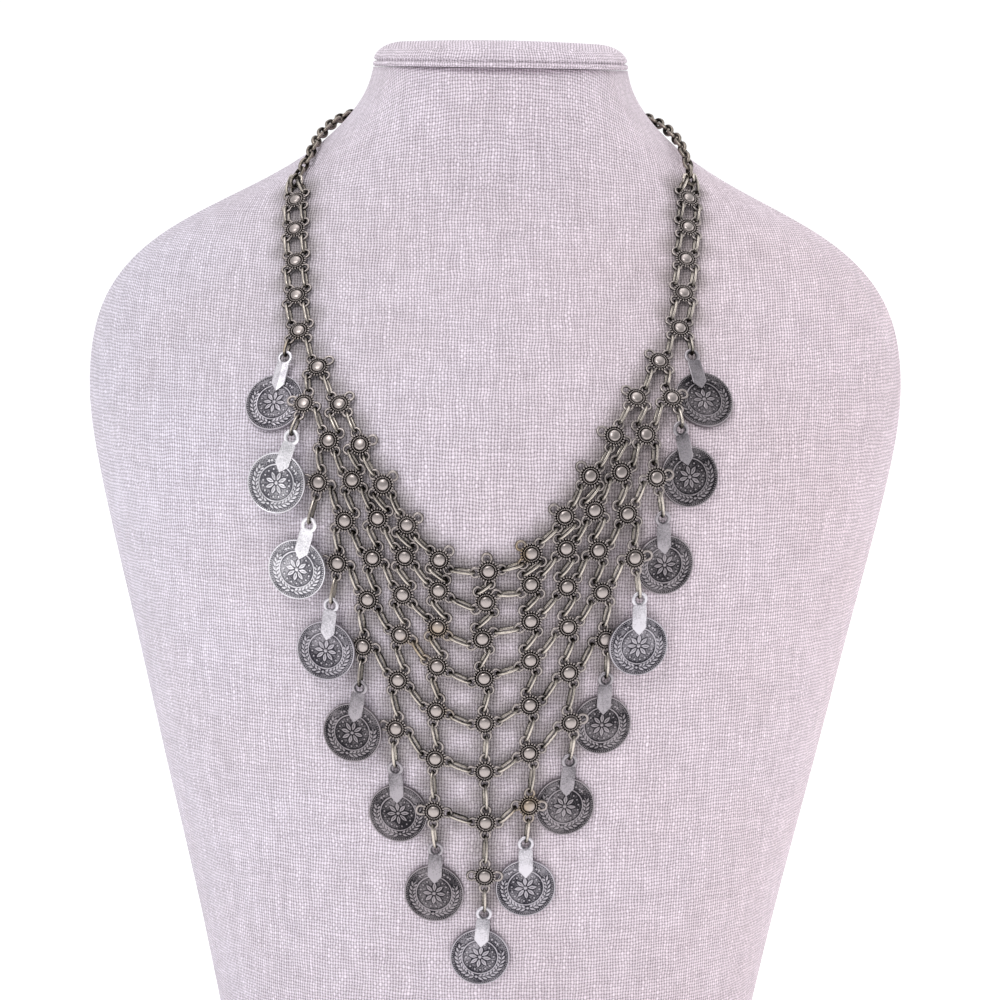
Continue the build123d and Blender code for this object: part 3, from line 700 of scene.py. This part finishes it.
def makeRosette():
    # a cast plate and satin dome, with rings of beads, studs and soldered loops
    profile = [(r * mm, z * mm) for r, z, _ in rosette["plate"]]
    wears = [w for _, _, w in rosette["plate"]]
    for share, rise in rosette["dome"]:
        profile.append((rosette["domeRadius"] * share, rise * mm))
        wears.append(0.75 if share > 0.9 else 1.0)
    points, faces = lathe(profile, rosette["steps"])
    base = meshObject("rosetteBase", points, faces)
    perPoint = []
    for (radius, _), wear in zip(profile, wears):
        perPoint += [wear] * (1 if radius < 1e-7 else rosette["steps"])
    setAttribute(base, "wear", "FLOAT", perPoint)
    bead = makeBall("bead", rosette["beadRadius"], 1.0)
    stud = makeBall("stud", rosette["studRadius"], 1.0)
    stud.data.transform(Matrix.Diagonal((rosette["studStretch"], 1, 1, 1)))
    points, faces = wireRing(rosette["loopRadius"], rosette["loopWire"], rosette["loopSteps"],
                             rosette["loopSides"])
    loop = meshObject("loop", points, faces)
    setAttribute(loop, "wear", "FLOAT", [crestWear(p[2], rosette["loopWire"]) for p in points])
    common = {"Material": rosetteMetal}
    made = grow(base, "rosetteShape", [
        (ringTree, {"Copy": bead, "Count": rosette["beads"], "Ring radius": rosette["beadRing"],
                    "Height": rosette["beadHeight"], "Start turn": 0.0, **common}),
        (ringTree, {"Copy": stud, "Count": rosette["studs"], "Ring radius": rosette["studRing"],
                    "Height": rosette["studHeight"], "Start turn": rosette["studStart"], **common}),
        (ringTree, {"Copy": loop, "Count": 4, "Ring radius": rosette["loopReach"],
                    "Height": rosette["loopHeight"], "Start turn": 0.0, **common}),
    ])
    for part in (bead, stud, loop):
        bpy.data.objects.remove(part)
    return made


def rosettePlace(shape):
    # centre, and the turn that takes x to a loop and z outwards
    centre, _, _, short, middles, areas = spreadOf(shape)
    normal = facing(short, front)
    xAxis = np.cross([0, 0, 1.0], normal)
    xAxis /= np.linalg.norm(xAxis)
    yAxis = np.cross(normal, xAxis)
    away = middles - centre
    x, y, z = away @ xAxis, away @ yAxis, away @ normal
    outer = np.hypot(x, y) > rosette["plateReach"]
    centre = centre + normal * np.average(z[outer], weights=areas[outer])
    angle = np.arctan2(y, x)[outer]
    turn = np.angle((areas[outer] * np.exp(4j * angle)).sum()) / 4
    loopAxis = xAxis * math.cos(turn) + yAxis * math.sin(turn)
    return centre, turnOf(loopAxis, normal)


def makeRosettes():
    shape = makeRosette()
    print("a rosette has", len(shape.data.polygons), "faces")
    total = 0
    for node in sorted(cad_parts):
        if "rosettes" in node:
            places = [rosettePlace(solid) for solid in islandsOf(node)]
            total += len(places)
            made = grow(hostOfPoints("host", places), "cast_" + node,
                        [(placeTree, {"Copy": shape, "Material": rosetteMetal})])
            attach(made, "root")
            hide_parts(node)
    bpy.data.objects.remove(shape)
    return total


print("stage:", makeRosettes(), "rosettes made")


# Oval links

link = {
    "radius": 1.12 * mm, "wire": 0.5 * mm, "steps": 20, "sides": 8,
    "uprightShare": 0.38,  # how far a link turns from its packed lie towards edge-on
}


def makeLinkShape(name, radius, wire, wornAllRound=False):
    # a round ring in the plane of x and z, whose halves are drawn apart along x
    points, faces = wireRing(radius, wire, link["steps"], link["sides"])
    made = meshObject(name, [(x, -z, y) for x, y, z in points], faces)
    if wornAllRound:
        wears = [0.15 + 0.7 * max(0, (math.hypot(x, y) - radius) / wire) for x, y, _ in points]
    else:
        wears = [crestWear(y - radius * y / math.hypot(x, y), wire) * (1.0 if y > 0 else 0.8)
                 for x, y, _ in points]
    setAttribute(made, "wear", "FLOAT", wears)
    turns = [x / math.hypot(x, y) for x, y, _ in points]
    setAttribute(made, "endSide", "FLOAT", [math.copysign(abs(turn) ** 0.6, turn) for turn in turns])
    return made


def linkPlace(shape):
    # centre, turn and half the stretch of an oval link
    _, run, upright, _, _, _ = spreadOf(shape)
    upright = facing(upright, front)
    corners = shape.reshape(-1, 3)
    along, across = corners @ run, corners @ upright
    side = np.cross(upright, run)
    level = corners @ side
    centre = (run * (along.max() + along.min()) + upright * (across.max() + across.min())
              + side * (level.max() + level.min())) / 2
    half = (along.max() - along.min()) / 2 - link["radius"] - link["wire"]
    edgeOn = front - run * (front @ run)
    upright = upright * (1 - link["uprightShare"]) + edgeOn / np.linalg.norm(edgeOn) * link["uprightShare"]
    return (centre, turnOf(run, upright / np.linalg.norm(upright))), run * max(half, 0)


def makeLinks():
    shape = makeLinkShape("linkShape", link["radius"], link["wire"])
    total = 0
    for node in sorted(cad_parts):
        if "links" in node:
            found = [linkPlace(solid) for solid in islandsOf(node)]
            total += len(found)
            host = hostOfPoints("host", [place for place, _ in found], [stretch for _, stretch in found])
            made = grow(host, "wire_" + node, [(placeTree, {"Copy": shape, "Material": linkMetal})])
            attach(made, "root")
            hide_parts(node)
    bpy.data.objects.remove(shape)
    return total


print("stage:", makeLinks(), "links made")


# Coins

coin = {
    "radius": 9.3 * mm, "thickness": 1.0 * mm, "relief": 0.22 * mm,
    "rings": 52, "steps": 180,
    "faceShare": 0.985,  # the struck face's share of the radius
    "backRim": (0.93, 0.91), "backDrop": 0.1 * mm,
    "wear": 0.3, "raisedWear": 0.24, "edgeWear": 1.1, "edgeReach": 0.4,
    "teeth": 84, "toothRadius": 0.21 * mm, "toothRing": 8.55 * mm, "toothLift": 0.04 * mm,
    "eyeletOuter": 5.1 * mm, "eyeletWire": 1.35 * mm, "eyeletFlatness": 0.62, "eyeletDark": 0.2 * mm,
    "eyeletToCoin": 14.7 * mm,
    "stripWidth": 4.7 * mm, "stripThickness": 0.5 * mm, "stripLength": 11.3 * mm, "stripPoint": 2.5 * mm,
    "endLength": 3.0 * mm, "eyeletSlice": 1.2 * mm,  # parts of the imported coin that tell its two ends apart
    "tones": {"coin_left_6": "bright", "coin_left_5": "bright", "coin_left_7": "mid", "coin_left_4": "mid",
              "coin_right_4": "mid", "coin_right_1": "mid", "coin_centre": "mid"},  # the others are dark; the three tones are lit and shaded copies of one silver, painted light set to how brightly each coin and its bail catch the light
    "tiltSpread": 11,  # degrees over which the coins' own turns are spread
}
ornament = {  # on the coin's face, in millimetres and radians
    "rimInside": 8.75, "innerCircle": 5.6, "circleWidth": 0.32,
    "petals": 8, "petalReach": 2.15, "petalLength": 2.7, "petalWidth": 0.72, "heart": 0.85,
    "dots": 16, "dotRing": 4.3, "dotRadius": 0.42,
    "sprayRing": 6.75, "stemWidth": 0.22, "stemTop": 3.2, "knot": 0.62,
    "leaves": 10, "firstLeaf": 0.2, "leafStep": 0.19, "leafSet": 0.55, "leafLean": 0.55,
    "leafLength": 1.55, "leafWidth": 0.4,
    "starPlace": (4.7, 5.3), "starRadius": 0.55, "starPoints": 0.32,
    "lozenges": 7, "lozengeRing": 7.0, "lozengeStep": 0.2, "lozengeRadius": 0.62,
}


def ridge(distance, width):
    # 1 at the middle of a raised line or spot, smoothly 0 at its edge
    share = np.clip(1 - np.abs(distance) / width, 0, 1)
    return share * share * (3 - 2 * share)


def leafHeight(x, y, cx, cy, heading, length, width):
    # a pointed leaf with a sunk midrib
    dx, dy = x - cx, y - cy
    along = dx * math.cos(heading) + dy * math.sin(heading)
    across = -dx * math.sin(heading) + dy * math.cos(heading)
    room = width * np.clip(1 - (2 * along / length) ** 2, 0.001, 1)
    leaf = np.where(np.abs(along) < length / 2, np.clip(1 - np.abs(across) / room, 0, 1), 0)
    return np.clip(leaf * 2.2, 0, 1) * (1 - 0.45 * ridge(across, 0.12))


def coinRelief(x, y):
    # height from 0 to 1 at points in millimetres from the coin's middle, y towards the bail
    r = np.hypot(x, y)
    parts = [np.clip((r - ornament["rimInside"]) / 0.15, 0, 1),
             0.85 * ridge(r - ornament["innerCircle"], ornament["circleWidth"])]
    # middle: a plain eight-petalled flower in a ring of dots
    reach = ornament["petalReach"]
    for turn in 2 * math.pi * np.arange(ornament["petals"]) / ornament["petals"]:
        parts.append(0.9 * leafHeight(x, y, reach * math.cos(turn), reach * math.sin(turn), turn,
                                      ornament["petalLength"], ornament["petalWidth"]))
    parts.append(ridge(r, ornament["heart"]))
    reach = ornament["dotRing"]
    for turn in 2 * math.pi * (np.arange(ornament["dots"]) + 0.5) / ornament["dots"]:
        dot = np.hypot(x - reach * math.cos(turn), y - reach * math.sin(turn))
        parts.append(0.8 * ridge(dot, ornament["dotRadius"]))
    # lower band: two leaf sprays that meet in a knot
    ring = ornament["sprayRing"]
    for side in (-1, 1):
        onStem = (side * x > 0) & (y < ornament["stemTop"])
        parts.append(0.6 * np.where(onStem, ridge(r - ring, ornament["stemWidth"]), 0))
        for k in range(ornament["leaves"]):
            turn = -math.pi / 2 + side * (ornament["firstLeaf"] + ornament["leafStep"] * k)
            tangent = turn + side * math.pi / 2
            for out in (1, -1):
                reach = ring + out * ornament["leafSet"]
                heading = tangent - side * out * ornament["leafLean"]
                parts.append(0.95 * leafHeight(x, y, reach * math.cos(turn), reach * math.sin(turn), heading,
                                               ornament["leafLength"], ornament["leafWidth"]))
    parts.append(ridge(np.hypot(x, y + ring), ornament["knot"]))
    # upper band: a small star each side, and lozenges between
    for side in (-1, 1):
        dx, dy = x - side * ornament["starPlace"][0], y - ornament["starPlace"][1]
        rays = np.cos(5 * np.arctan2(dy, dx) - 5 * math.pi / 2)
        parts.append(ridge(np.hypot(dx, dy), ornament["starRadius"] + ornament["starPoints"] * rays))
    reach = ornament["lozengeRing"]
    for k in range(ornament["lozenges"]):
        turn = math.pi / 2 + (k - ornament["lozenges"] // 2) * ornament["lozengeStep"]
        lozenge = np.abs(x - reach * math.cos(turn)) + np.abs(y - reach * math.sin(turn))
        parts.append(0.85 * ridge(lozenge, ornament["lozengeRadius"]))
    return np.max(parts, axis=0)


def makeCoinDisc():
    # a struck disc: relief on its face, a plain raised edge behind
    radius, thick, steps = coin["radius"], coin["thickness"], coin["steps"]
    rings = np.linspace(0, radius * coin["faceShare"], coin["rings"])
    turns = 2 * math.pi * np.arange(steps) / steps
    reach = coin["edgeReach"]
    points, wears = [(0, 0, thick / 2 + coin["relief"])], [1.0]
    order = [[0]]
    for r in rings[1:]:
        x, y = r * np.cos(turns), r * np.sin(turns)
        high = coinRelief(x / mm, y / mm)
        around = sum(coinRelief(x / mm + reach * math.cos(t), y / mm + reach * math.sin(t))
                     for t in np.arange(8) * math.pi / 4) / 8
        order.append(list(range(len(points), len(points) + steps)))
        points += list(zip(x, y, thick / 2 + coin["relief"] * high))
        wears += list(np.clip(
            coin["wear"] + coin["raisedWear"] * high + coin["edgeWear"] * (high - around), 0, 1))
    back, sunk = -thick / 2, -thick / 2 + coin["backDrop"]
    rimOutside, rimInside = coin["backRim"]
    for share, z in ((1, thick / 2), (1, sunk), (coin["faceShare"], back), (rimOutside, back),
                     (rimInside, sunk), (0, sunk)):
        r = radius * share
        if r == 0:
            order.append([len(points)])
            points.append((0, 0, z))
            wears.append(coin["wear"])
        else:
            order.append(list(range(len(points), len(points) + steps)))
            points += [(r * math.cos(t), r * math.sin(t), z) for t in turns]
            wears += [coin["wear"] + (0.25 if share > rimInside else 0)] * steps
    made = meshObject("coinDisc", points, ringFaces(order, steps, flipped=True))
    setAttribute(made, "wear", "FLOAT", wears)
    tooth = makeBall("tooth", coin["toothRadius"], 0.95)
    made = grow(made, "coinFace", [(ringTree, {
        "Copy": tooth, "Count": coin["teeth"], "Ring radius": coin["toothRing"],
        "Height": thick / 2 + coin["toothLift"], "Start turn": 0.0, "Material": coinMetals["mid"]})])
    bpy.data.objects.remove(tooth)
    return made


def makeBail():
    # the pointed strip and its eyelet, round the eyelet's middle
    half, thick = coin["stripWidth"] / 2, coin["stripThickness"]
    shoulder, tip = coin["stripLength"] - coin["stripPoint"], coin["stripLength"]
    radius = (coin["eyeletOuter"] - coin["eyeletWire"]) / 2
    rows = [  # y, share of the strip's half width
        (-radius + 0.3 * mm, 0.8), (-radius - 0.4 * mm, 0.92), (-radius - 1.6 * mm, 0.95),
        (-radius - 3.2 * mm, 0.95), (-shoulder, 0.95), (-(shoulder + tip) / 2, 0.49),
        (-tip + 0.15 * mm, 0.04)]
    section = ((-1, -0.6), (-1, 0.4), (-0.88, 1), (0, 1.35), (0.88, 1), (1, 0.4), (1, -0.6), (0, -1))
    points, wears = [], []
    for y, share in rows:
        for sx, sz in section:
            points.append((sx * half * share, y, sz * thick / 2))
            # the strip is lighter towards its point
            wears.append(0.42 + 0.3 * min(1, -y / tip))
    rings = evenRings(len(rows), len(section))
    faces = ringFaces(rings, len(section)) + [tuple(rings[0])[::-1], tuple(rings[-1])]
    strip = meshObject("bailStrip", points, faces, smooth=False)
    setAttribute(strip, "wear", "FLOAT", wears)
    bevel = strip.modifiers.new("softEdges", "BEVEL")
    bevel.width, bevel.segments, bevel.limit_method = 0.08 * mm, 2, "ANGLE"
    points, faces = wireRing(radius, coin["eyeletWire"] / 2, 32, 12)
    eyelet = meshObject("eyelet", [(x, y, coin["eyeletFlatness"] * z) for x, y, z in points], faces)
    setAttribute(eyelet, "wear", "FLOAT",
                 [0.3 if math.hypot(x, y) < radius - coin["eyeletDark"] else 0.85 for x, y, _ in points])
    return strip, eyelet


def coinPlace(node):
    # the matrix that takes the eyelet's middle, the strip's line and the coin's face to their places
    parts = np.concatenate(islandsOf(node))
    _, run, _, short, _, _ = spreadOf(parts)
    normal = facing(short, front)
    corners = parts.reshape(-1, 3)
    along = corners @ run
    side = np.cross(run, normal)
    ends = (along < along.min() + coin["endLength"], along > along.max() - coin["endLength"])
    widths = [np.ptp(corners[end] @ side) for end in ends]
    up = run if widths[1] < widths[0] else -run
    right = np.cross(up, normal)
    along, across, level = corners @ up, corners @ right, corners @ normal
    eyelet = along > along.max() - coin["eyeletSlice"]
    centre = (up * (along.max() - coin["eyeletOuter"] / 2)
              + right * (across[eyelet].max() + across[eyelet].min()) / 2
              + normal * (level[eyelet].max() + level[eyelet].min()) / 2)
    return Matrix(np.array([
        [right[k], up[k], normal[k], centre[k]] for k in range(3)] + [[0, 0, 0, 1]]).tolist())


def makeCoins():
    disc = makeCoinDisc()
    strip, eyelet = makeBail()
    depsgraph = bpy.context.evaluated_depsgraph_get()
    bevelled = bpy.data.meshes.new_from_object(strip.evaluated_get(depsgraph))
    face = -coin["stripThickness"] / 2 - coin["thickness"] / 2
    nodes = [n for n in sorted(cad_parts) if n.startswith("coin_") and n != "coin_links"]
    for number, node in enumerate(nodes):
        place = coinPlace(node)
        # each coin and its bail take the lit, half-lit or shaded copy of their silver, painted light
        spread, tone = coin["tiltSpread"], coin["tones"].get(node, "dark")
        tilt = Matrix.Rotation(math.radians((number * 37) % spread - spread // 2), 4, "Z")
        parts = [(disc.data, place @ Matrix.Translation((0, -coin["eyeletToCoin"], face)) @ tilt, 0),
                 (bevelled, place @ Matrix.Translation((0, 0, coin["relief"])), 1), (eyelet.data, place, 1)]
        copies = []
        for mesh, matrix, slotNumber in parts:
            copy = mesh.copy()
            copy.transform(matrix)
            copy.materials.clear()
            copy.materials.append(coinMetals[tone])
            copy.materials.append(bailMetals[tone])
            copy.polygons.foreach_set("material_index", [slotNumber] * len(copy.polygons))
            made = bpy.data.objects.new(node + "_part", copy)
            scene.collection.objects.link(made)
            copies.append(made)
        with bpy.context.temp_override(active_object=copies[0], selected_editable_objects=copies,
                                       selected_objects=copies):
            bpy.ops.object.join()
        made = copies[0]
        made.name = "struck_" + node
        made.data.name = made.name
        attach(made, "root")
        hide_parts(node)
    for part in (disc, strip, eyelet):
        bpy.data.objects.remove(part)
    return len(nodes)


print("stage:", makeCoins(), "coins made")


# Strap rings, back chain and clasp

chain = {"linkRadius": 1.3 * mm, "wire": 0.62 * mm, "halfStretch": 0.95 * mm, "pitch": 3.35 * mm,
         "firstRoll": math.radians(35)}
trace = {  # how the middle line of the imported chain's tube is followed
    "spacing": 0.8 * mm, "step": 1.6 * mm, "slab": 0.8 * mm, "reach": 3.4 * mm,
    "startReach": 2.6 * mm, "goalReach": 2.4 * mm, "mostSteps": 200,
}
strapRing = {"radius": 1.65 * mm, "wire": 0.45 * mm, "steps": 28, "sides": 10, "darkInside": 1.5 * mm}
clasp = {"rows": 15, "steps": 20, "grooves": (4, 7, 10), "length": 0.92, "girth": 0.9, "groovePinch": 0.9,
         "endPinch": 0.8, "squareness": 0.6}


def sampled(shape, spacing):
    # points spread over a solid's triangles
    found = [shape.reshape(-1, 3)]
    for a, b, c in shape:
        count = int(max(np.linalg.norm(b - a), np.linalg.norm(c - b), np.linalg.norm(a - c)) / spacing) + 1
        u, v = np.meshgrid(np.arange(count + 1) / count, np.arange(count + 1) / count)
        keep = u + v <= 1.0001
        u, v = u[keep][:, None], v[keep][:, None]
        found.append(a + (b - a) * u + (c - a) * v)
    return np.concatenate(found)


def centreLine(shape, start, goal):
    # the middle line of a tube, from its end near the start to the goal
    points = sampled(shape, trace["spacing"])
    nearest = points[np.argmin(np.linalg.norm(points - start, axis=1))]
    line = [points[np.linalg.norm(points - nearest, axis=1) < trace["startReach"]].mean(axis=0)]
    way = line[0] - start
    way = way / np.linalg.norm(way)
    for _ in range(trace["mostSteps"]):
        guess = line[-1] + way * trace["step"]
        away = points - guess
        close = (np.abs(away @ way) < trace["slab"]) & (np.linalg.norm(away, axis=1) < trace["reach"])
        if close.sum() < 6:
            break
        middle = points[close].mean(axis=0)
        way = middle - line[-1]
        way = way / np.linalg.norm(way)
        line.append(middle)
        if np.linalg.norm(middle - goal) < trace["goalReach"]:
            break
    return line


def makeStrapRings(side):
    node = f"strap_rings_{side}"
    places, middles = [], []
    for solid in islandsOf(node):
        centre, run, _, short, _, _ = spreadOf(solid)
        places.append((centre, turnOf(run, short)))
        middles.append(centre)
    points, faces = wireRing(*(strapRing[size] for size in ("radius", "wire", "steps", "sides")))
    ringShape = meshObject("ringShape", points, faces)
    setAttribute(ringShape, "wear", "FLOAT",
                 [0.35 if math.hypot(x, y) < strapRing["darkInside"] else 0.85 for x, y, _ in points])
    made = grow(hostOfPoints("host", places), "jump_" + node,
                [(placeTree, {"Copy": ringShape, "Material": linkMetal})])
    bpy.data.objects.remove(ringShape)
    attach(made, "root")
    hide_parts(node)
    return sum(middles) / len(middles)


def makeChain(side, start, claspEnd):
    node = f"back_chain_{side}"
    line = [start] + centreLine(islandsOf(node)[0], start, claspEnd) + [claspEnd]
    curve = bpy.data.curves.new("chainLine", "CURVE")
    curve.dimensions = "3D"
    spline = curve.splines.new("POLY")
    spline.points.add(len(line) - 1)
    for point, place in zip(spline.points, line):
        point.co = (*place, 1)
    host = bpy.data.objects.new("chainLine", curve)
    scene.collection.objects.link(host)
    shape = makeLinkShape("chainLink", chain["linkRadius"], chain["wire"], wornAllRound=True)
    for vertex, sideValue in zip(shape.data.vertices, shape.data.attributes["endSide"].data):
        vertex.co.x += sideValue.value * chain["halfStretch"]
    low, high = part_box("neck_cap")
    made = grow(host, "linked_" + node, [(chainTree, {
        "Link": shape, "Pitch": chain["pitch"], "First roll": chain["firstRoll"],
        "Neck axis": (0.0, (low[1] + high[1]) / 2, 0.0), "Material": chainMetal})])
    bpy.data.objects.remove(shape)
    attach(made, "root")
    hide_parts(node)
    return len(line)


def makeClasp():
    # a plain rounded box clasp with three shallow grooves round it
    low, high = (np.array(corner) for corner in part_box("clasp"))
    middle, size = (low + high) / 2, high - low
    rows, steps, points = clasp["rows"], clasp["steps"], []
    for r in range(rows):
        x = (r / (rows - 1) - 0.5) * size[0] * clasp["length"]
        pinch = clasp["endPinch"] if r in (0, rows - 1) else (
            clasp["groovePinch"] if r in clasp["grooves"] else 1.0)
        for k in range(steps):
            turn = 2 * math.pi * k / steps
            y, z = (math.copysign(abs(side) ** clasp["squareness"], side) * width / 2 * pinch * clasp["girth"]
                    for side, width in ((math.cos(turn), size[1]), (math.sin(turn), size[2])))
            points.append((middle[0] + x, middle[1] + y, middle[2] + z))
    rings = evenRings(rows, steps)
    faces = ringFaces(rings, steps) + [tuple(rings[0])[::-1], tuple(rings[-1])]
    made = meshObject("claspBody", points, faces)
    setAttribute(made, "wear", "FLOAT",
                 [0.4 if k // steps in clasp["grooves"] else 0.85 for k in range(len(points))])
    made.data.materials.append(chainMetal)
    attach(made, "root")
    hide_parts("clasp")
    return low, high


claspLow, claspHigh = makeClasp()
claspMiddle = (claspLow + claspHigh) / 2
for side, claspX in (("left", claspLow[0]), ("right", claspHigh[0])):
    start, goal = makeStrapRings(side), np.array([claspX, *claspMiddle[1:]])
    print(side, "chain follows", makeChain(side, start, goal), "points")
print("stage: rings, chains and clasp made")


# Camera, light and floor

camera = {"target": (0.0022, -0.078, 0.198), "distance": 0.8, "lens": 96.0, "sensor": 36.0,
          "clip": (0.05, 50.0), "pitch": 9.0, "roll": 0.95}  # metres, millimetres for the lens, degrees


def makeCamera():
    pitch, roll = math.radians(camera["pitch"]), math.radians(camera["roll"])
    ahead = Vector((0, math.cos(pitch), -math.sin(pitch)))
    level, above = Vector((1, 0, 0)), Vector((0, math.sin(pitch), math.cos(pitch)))
    right = level * math.cos(roll) + above * math.sin(roll)
    up = above * math.cos(roll) - level * math.sin(roll)
    eye = Vector(camera["target"]) - ahead * camera["distance"]
    data = bpy.data.cameras.new("camera")
    data.lens, data.sensor_width = camera["lens"], camera["sensor"]
    data.clip_start, data.clip_end = camera["clip"]
    made = bpy.data.objects.new("camera", data)
    made.matrix_world = Matrix([
        [right[k], up[k], -ahead[k], eye[k]] for k in range(3)] + [[0, 0, 0, 1]])
    scene.collection.objects.link(made)
    scene.camera = made


light = {
    "sky": 0.92, "skyDark": (0.04, 0.04, 0.045, 1), "skyWhite": (1.15, 1.15, 1.17, 1),
    "darkest": -0.9, "darkShare": 0.25,  # y of the sky's darkest part, behind the viewer, and its white
    "whiteFrom": (-0.4, 0.9),  # y where the sky turns white, at the horizon and higher up
    "horizon": (0.14, 0.24),  # heights between those two
    "panels": [  # place, width, height, power in watts
        ((-0.5, -1.1, 1.35), 0.5, 0.5, 10.0),
        ((1.2, 0.2, 0.5), 0.7, 0.9, 3.5),
        ((0.0, 0.0, 1.6), 1.0, 0.7, 5.0),
    ],
    "aim": (0, 0, 0.2),
}


def makeLights():
    for number, (place, width, height, power) in enumerate(light["panels"]):
        data = bpy.data.lights.new(f"softbox{number}", "AREA")
        data.shape, data.size, data.size_y, data.energy = "RECTANGLE", width, height, power
        made = bpy.data.objects.new(f"softbox{number}", data)
        made.location = place
        made.rotation_euler = (Vector(light["aim"]) - Vector(place)).to_track_quat("-Z", "Y").to_euler()
        scene.collection.objects.link(made)
    world = bpy.data.worlds.new("paleStudio")
    world.use_nodes = True
    tree = world.node_tree
    background = tree.nodes["Background"]
    # white behind the bust and along the horizon, darker above the viewer, which gives metal its contrast
    direction = addNode(tree, "ShaderNodeTexCoord").outputs["Generated"]
    where = addNode(tree, "ShaderNodeSeparateXYZ", {0: direction})
    whiteFrom = addNode(tree, "ShaderNodeMapRange", {
        "Value": where.outputs[2], "From Min": light["horizon"][0], "From Max": light["horizon"][1],
        "To Min": light["whiteFrom"][0], "To Max": light["whiteFrom"][1]})
    share = addNode(tree, "ShaderNodeMapRange", {
        "Value": where.outputs[1], "From Min": light["darkest"], "From Max": whiteFrom.outputs[0],
        "To Min": light["darkShare"]})
    shade = addNode(tree, "ShaderNodeMix",
                    {0: share.outputs[0], 6: light["skyDark"], 7: light["skyWhite"]}, data_type="RGBA")
    tree.links.new(shade.outputs[2], background.inputs["Color"])
    background.inputs["Strength"].default_value = light["sky"]
    scene.world = world


paper = {"halfWidth": 6.0, "colour": "#FAFAFA", "roughness": 0.9, "glow": 0.45}


def makeFloor():
    # a wide sheet of matt paper, which glows a little so that it stays white to the horizon
    size = paper["halfWidth"]
    floor = meshObject("floor", [(-size, -size, 0), (size, -size, 0), (size, size, 0), (-size, size, 0)],
                       [(0, 1, 2, 3)])
    material, _, shader = newMaterial("palePaper")
    shader.inputs["Base Color"].default_value = linear(paper["colour"])
    shader.inputs["Roughness"].default_value = paper["roughness"]
    shader.inputs["Emission Color"].default_value = (1, 1, 1, 1)
    shader.inputs["Emission Strength"].default_value = paper["glow"]
    floor.data.materials.append(material)


makeCamera()
makeLights()
makeFloor()
scene.view_settings.view_transform = "Standard"
scene.view_settings.look = "None"
print("stage: camera, light and floor made")
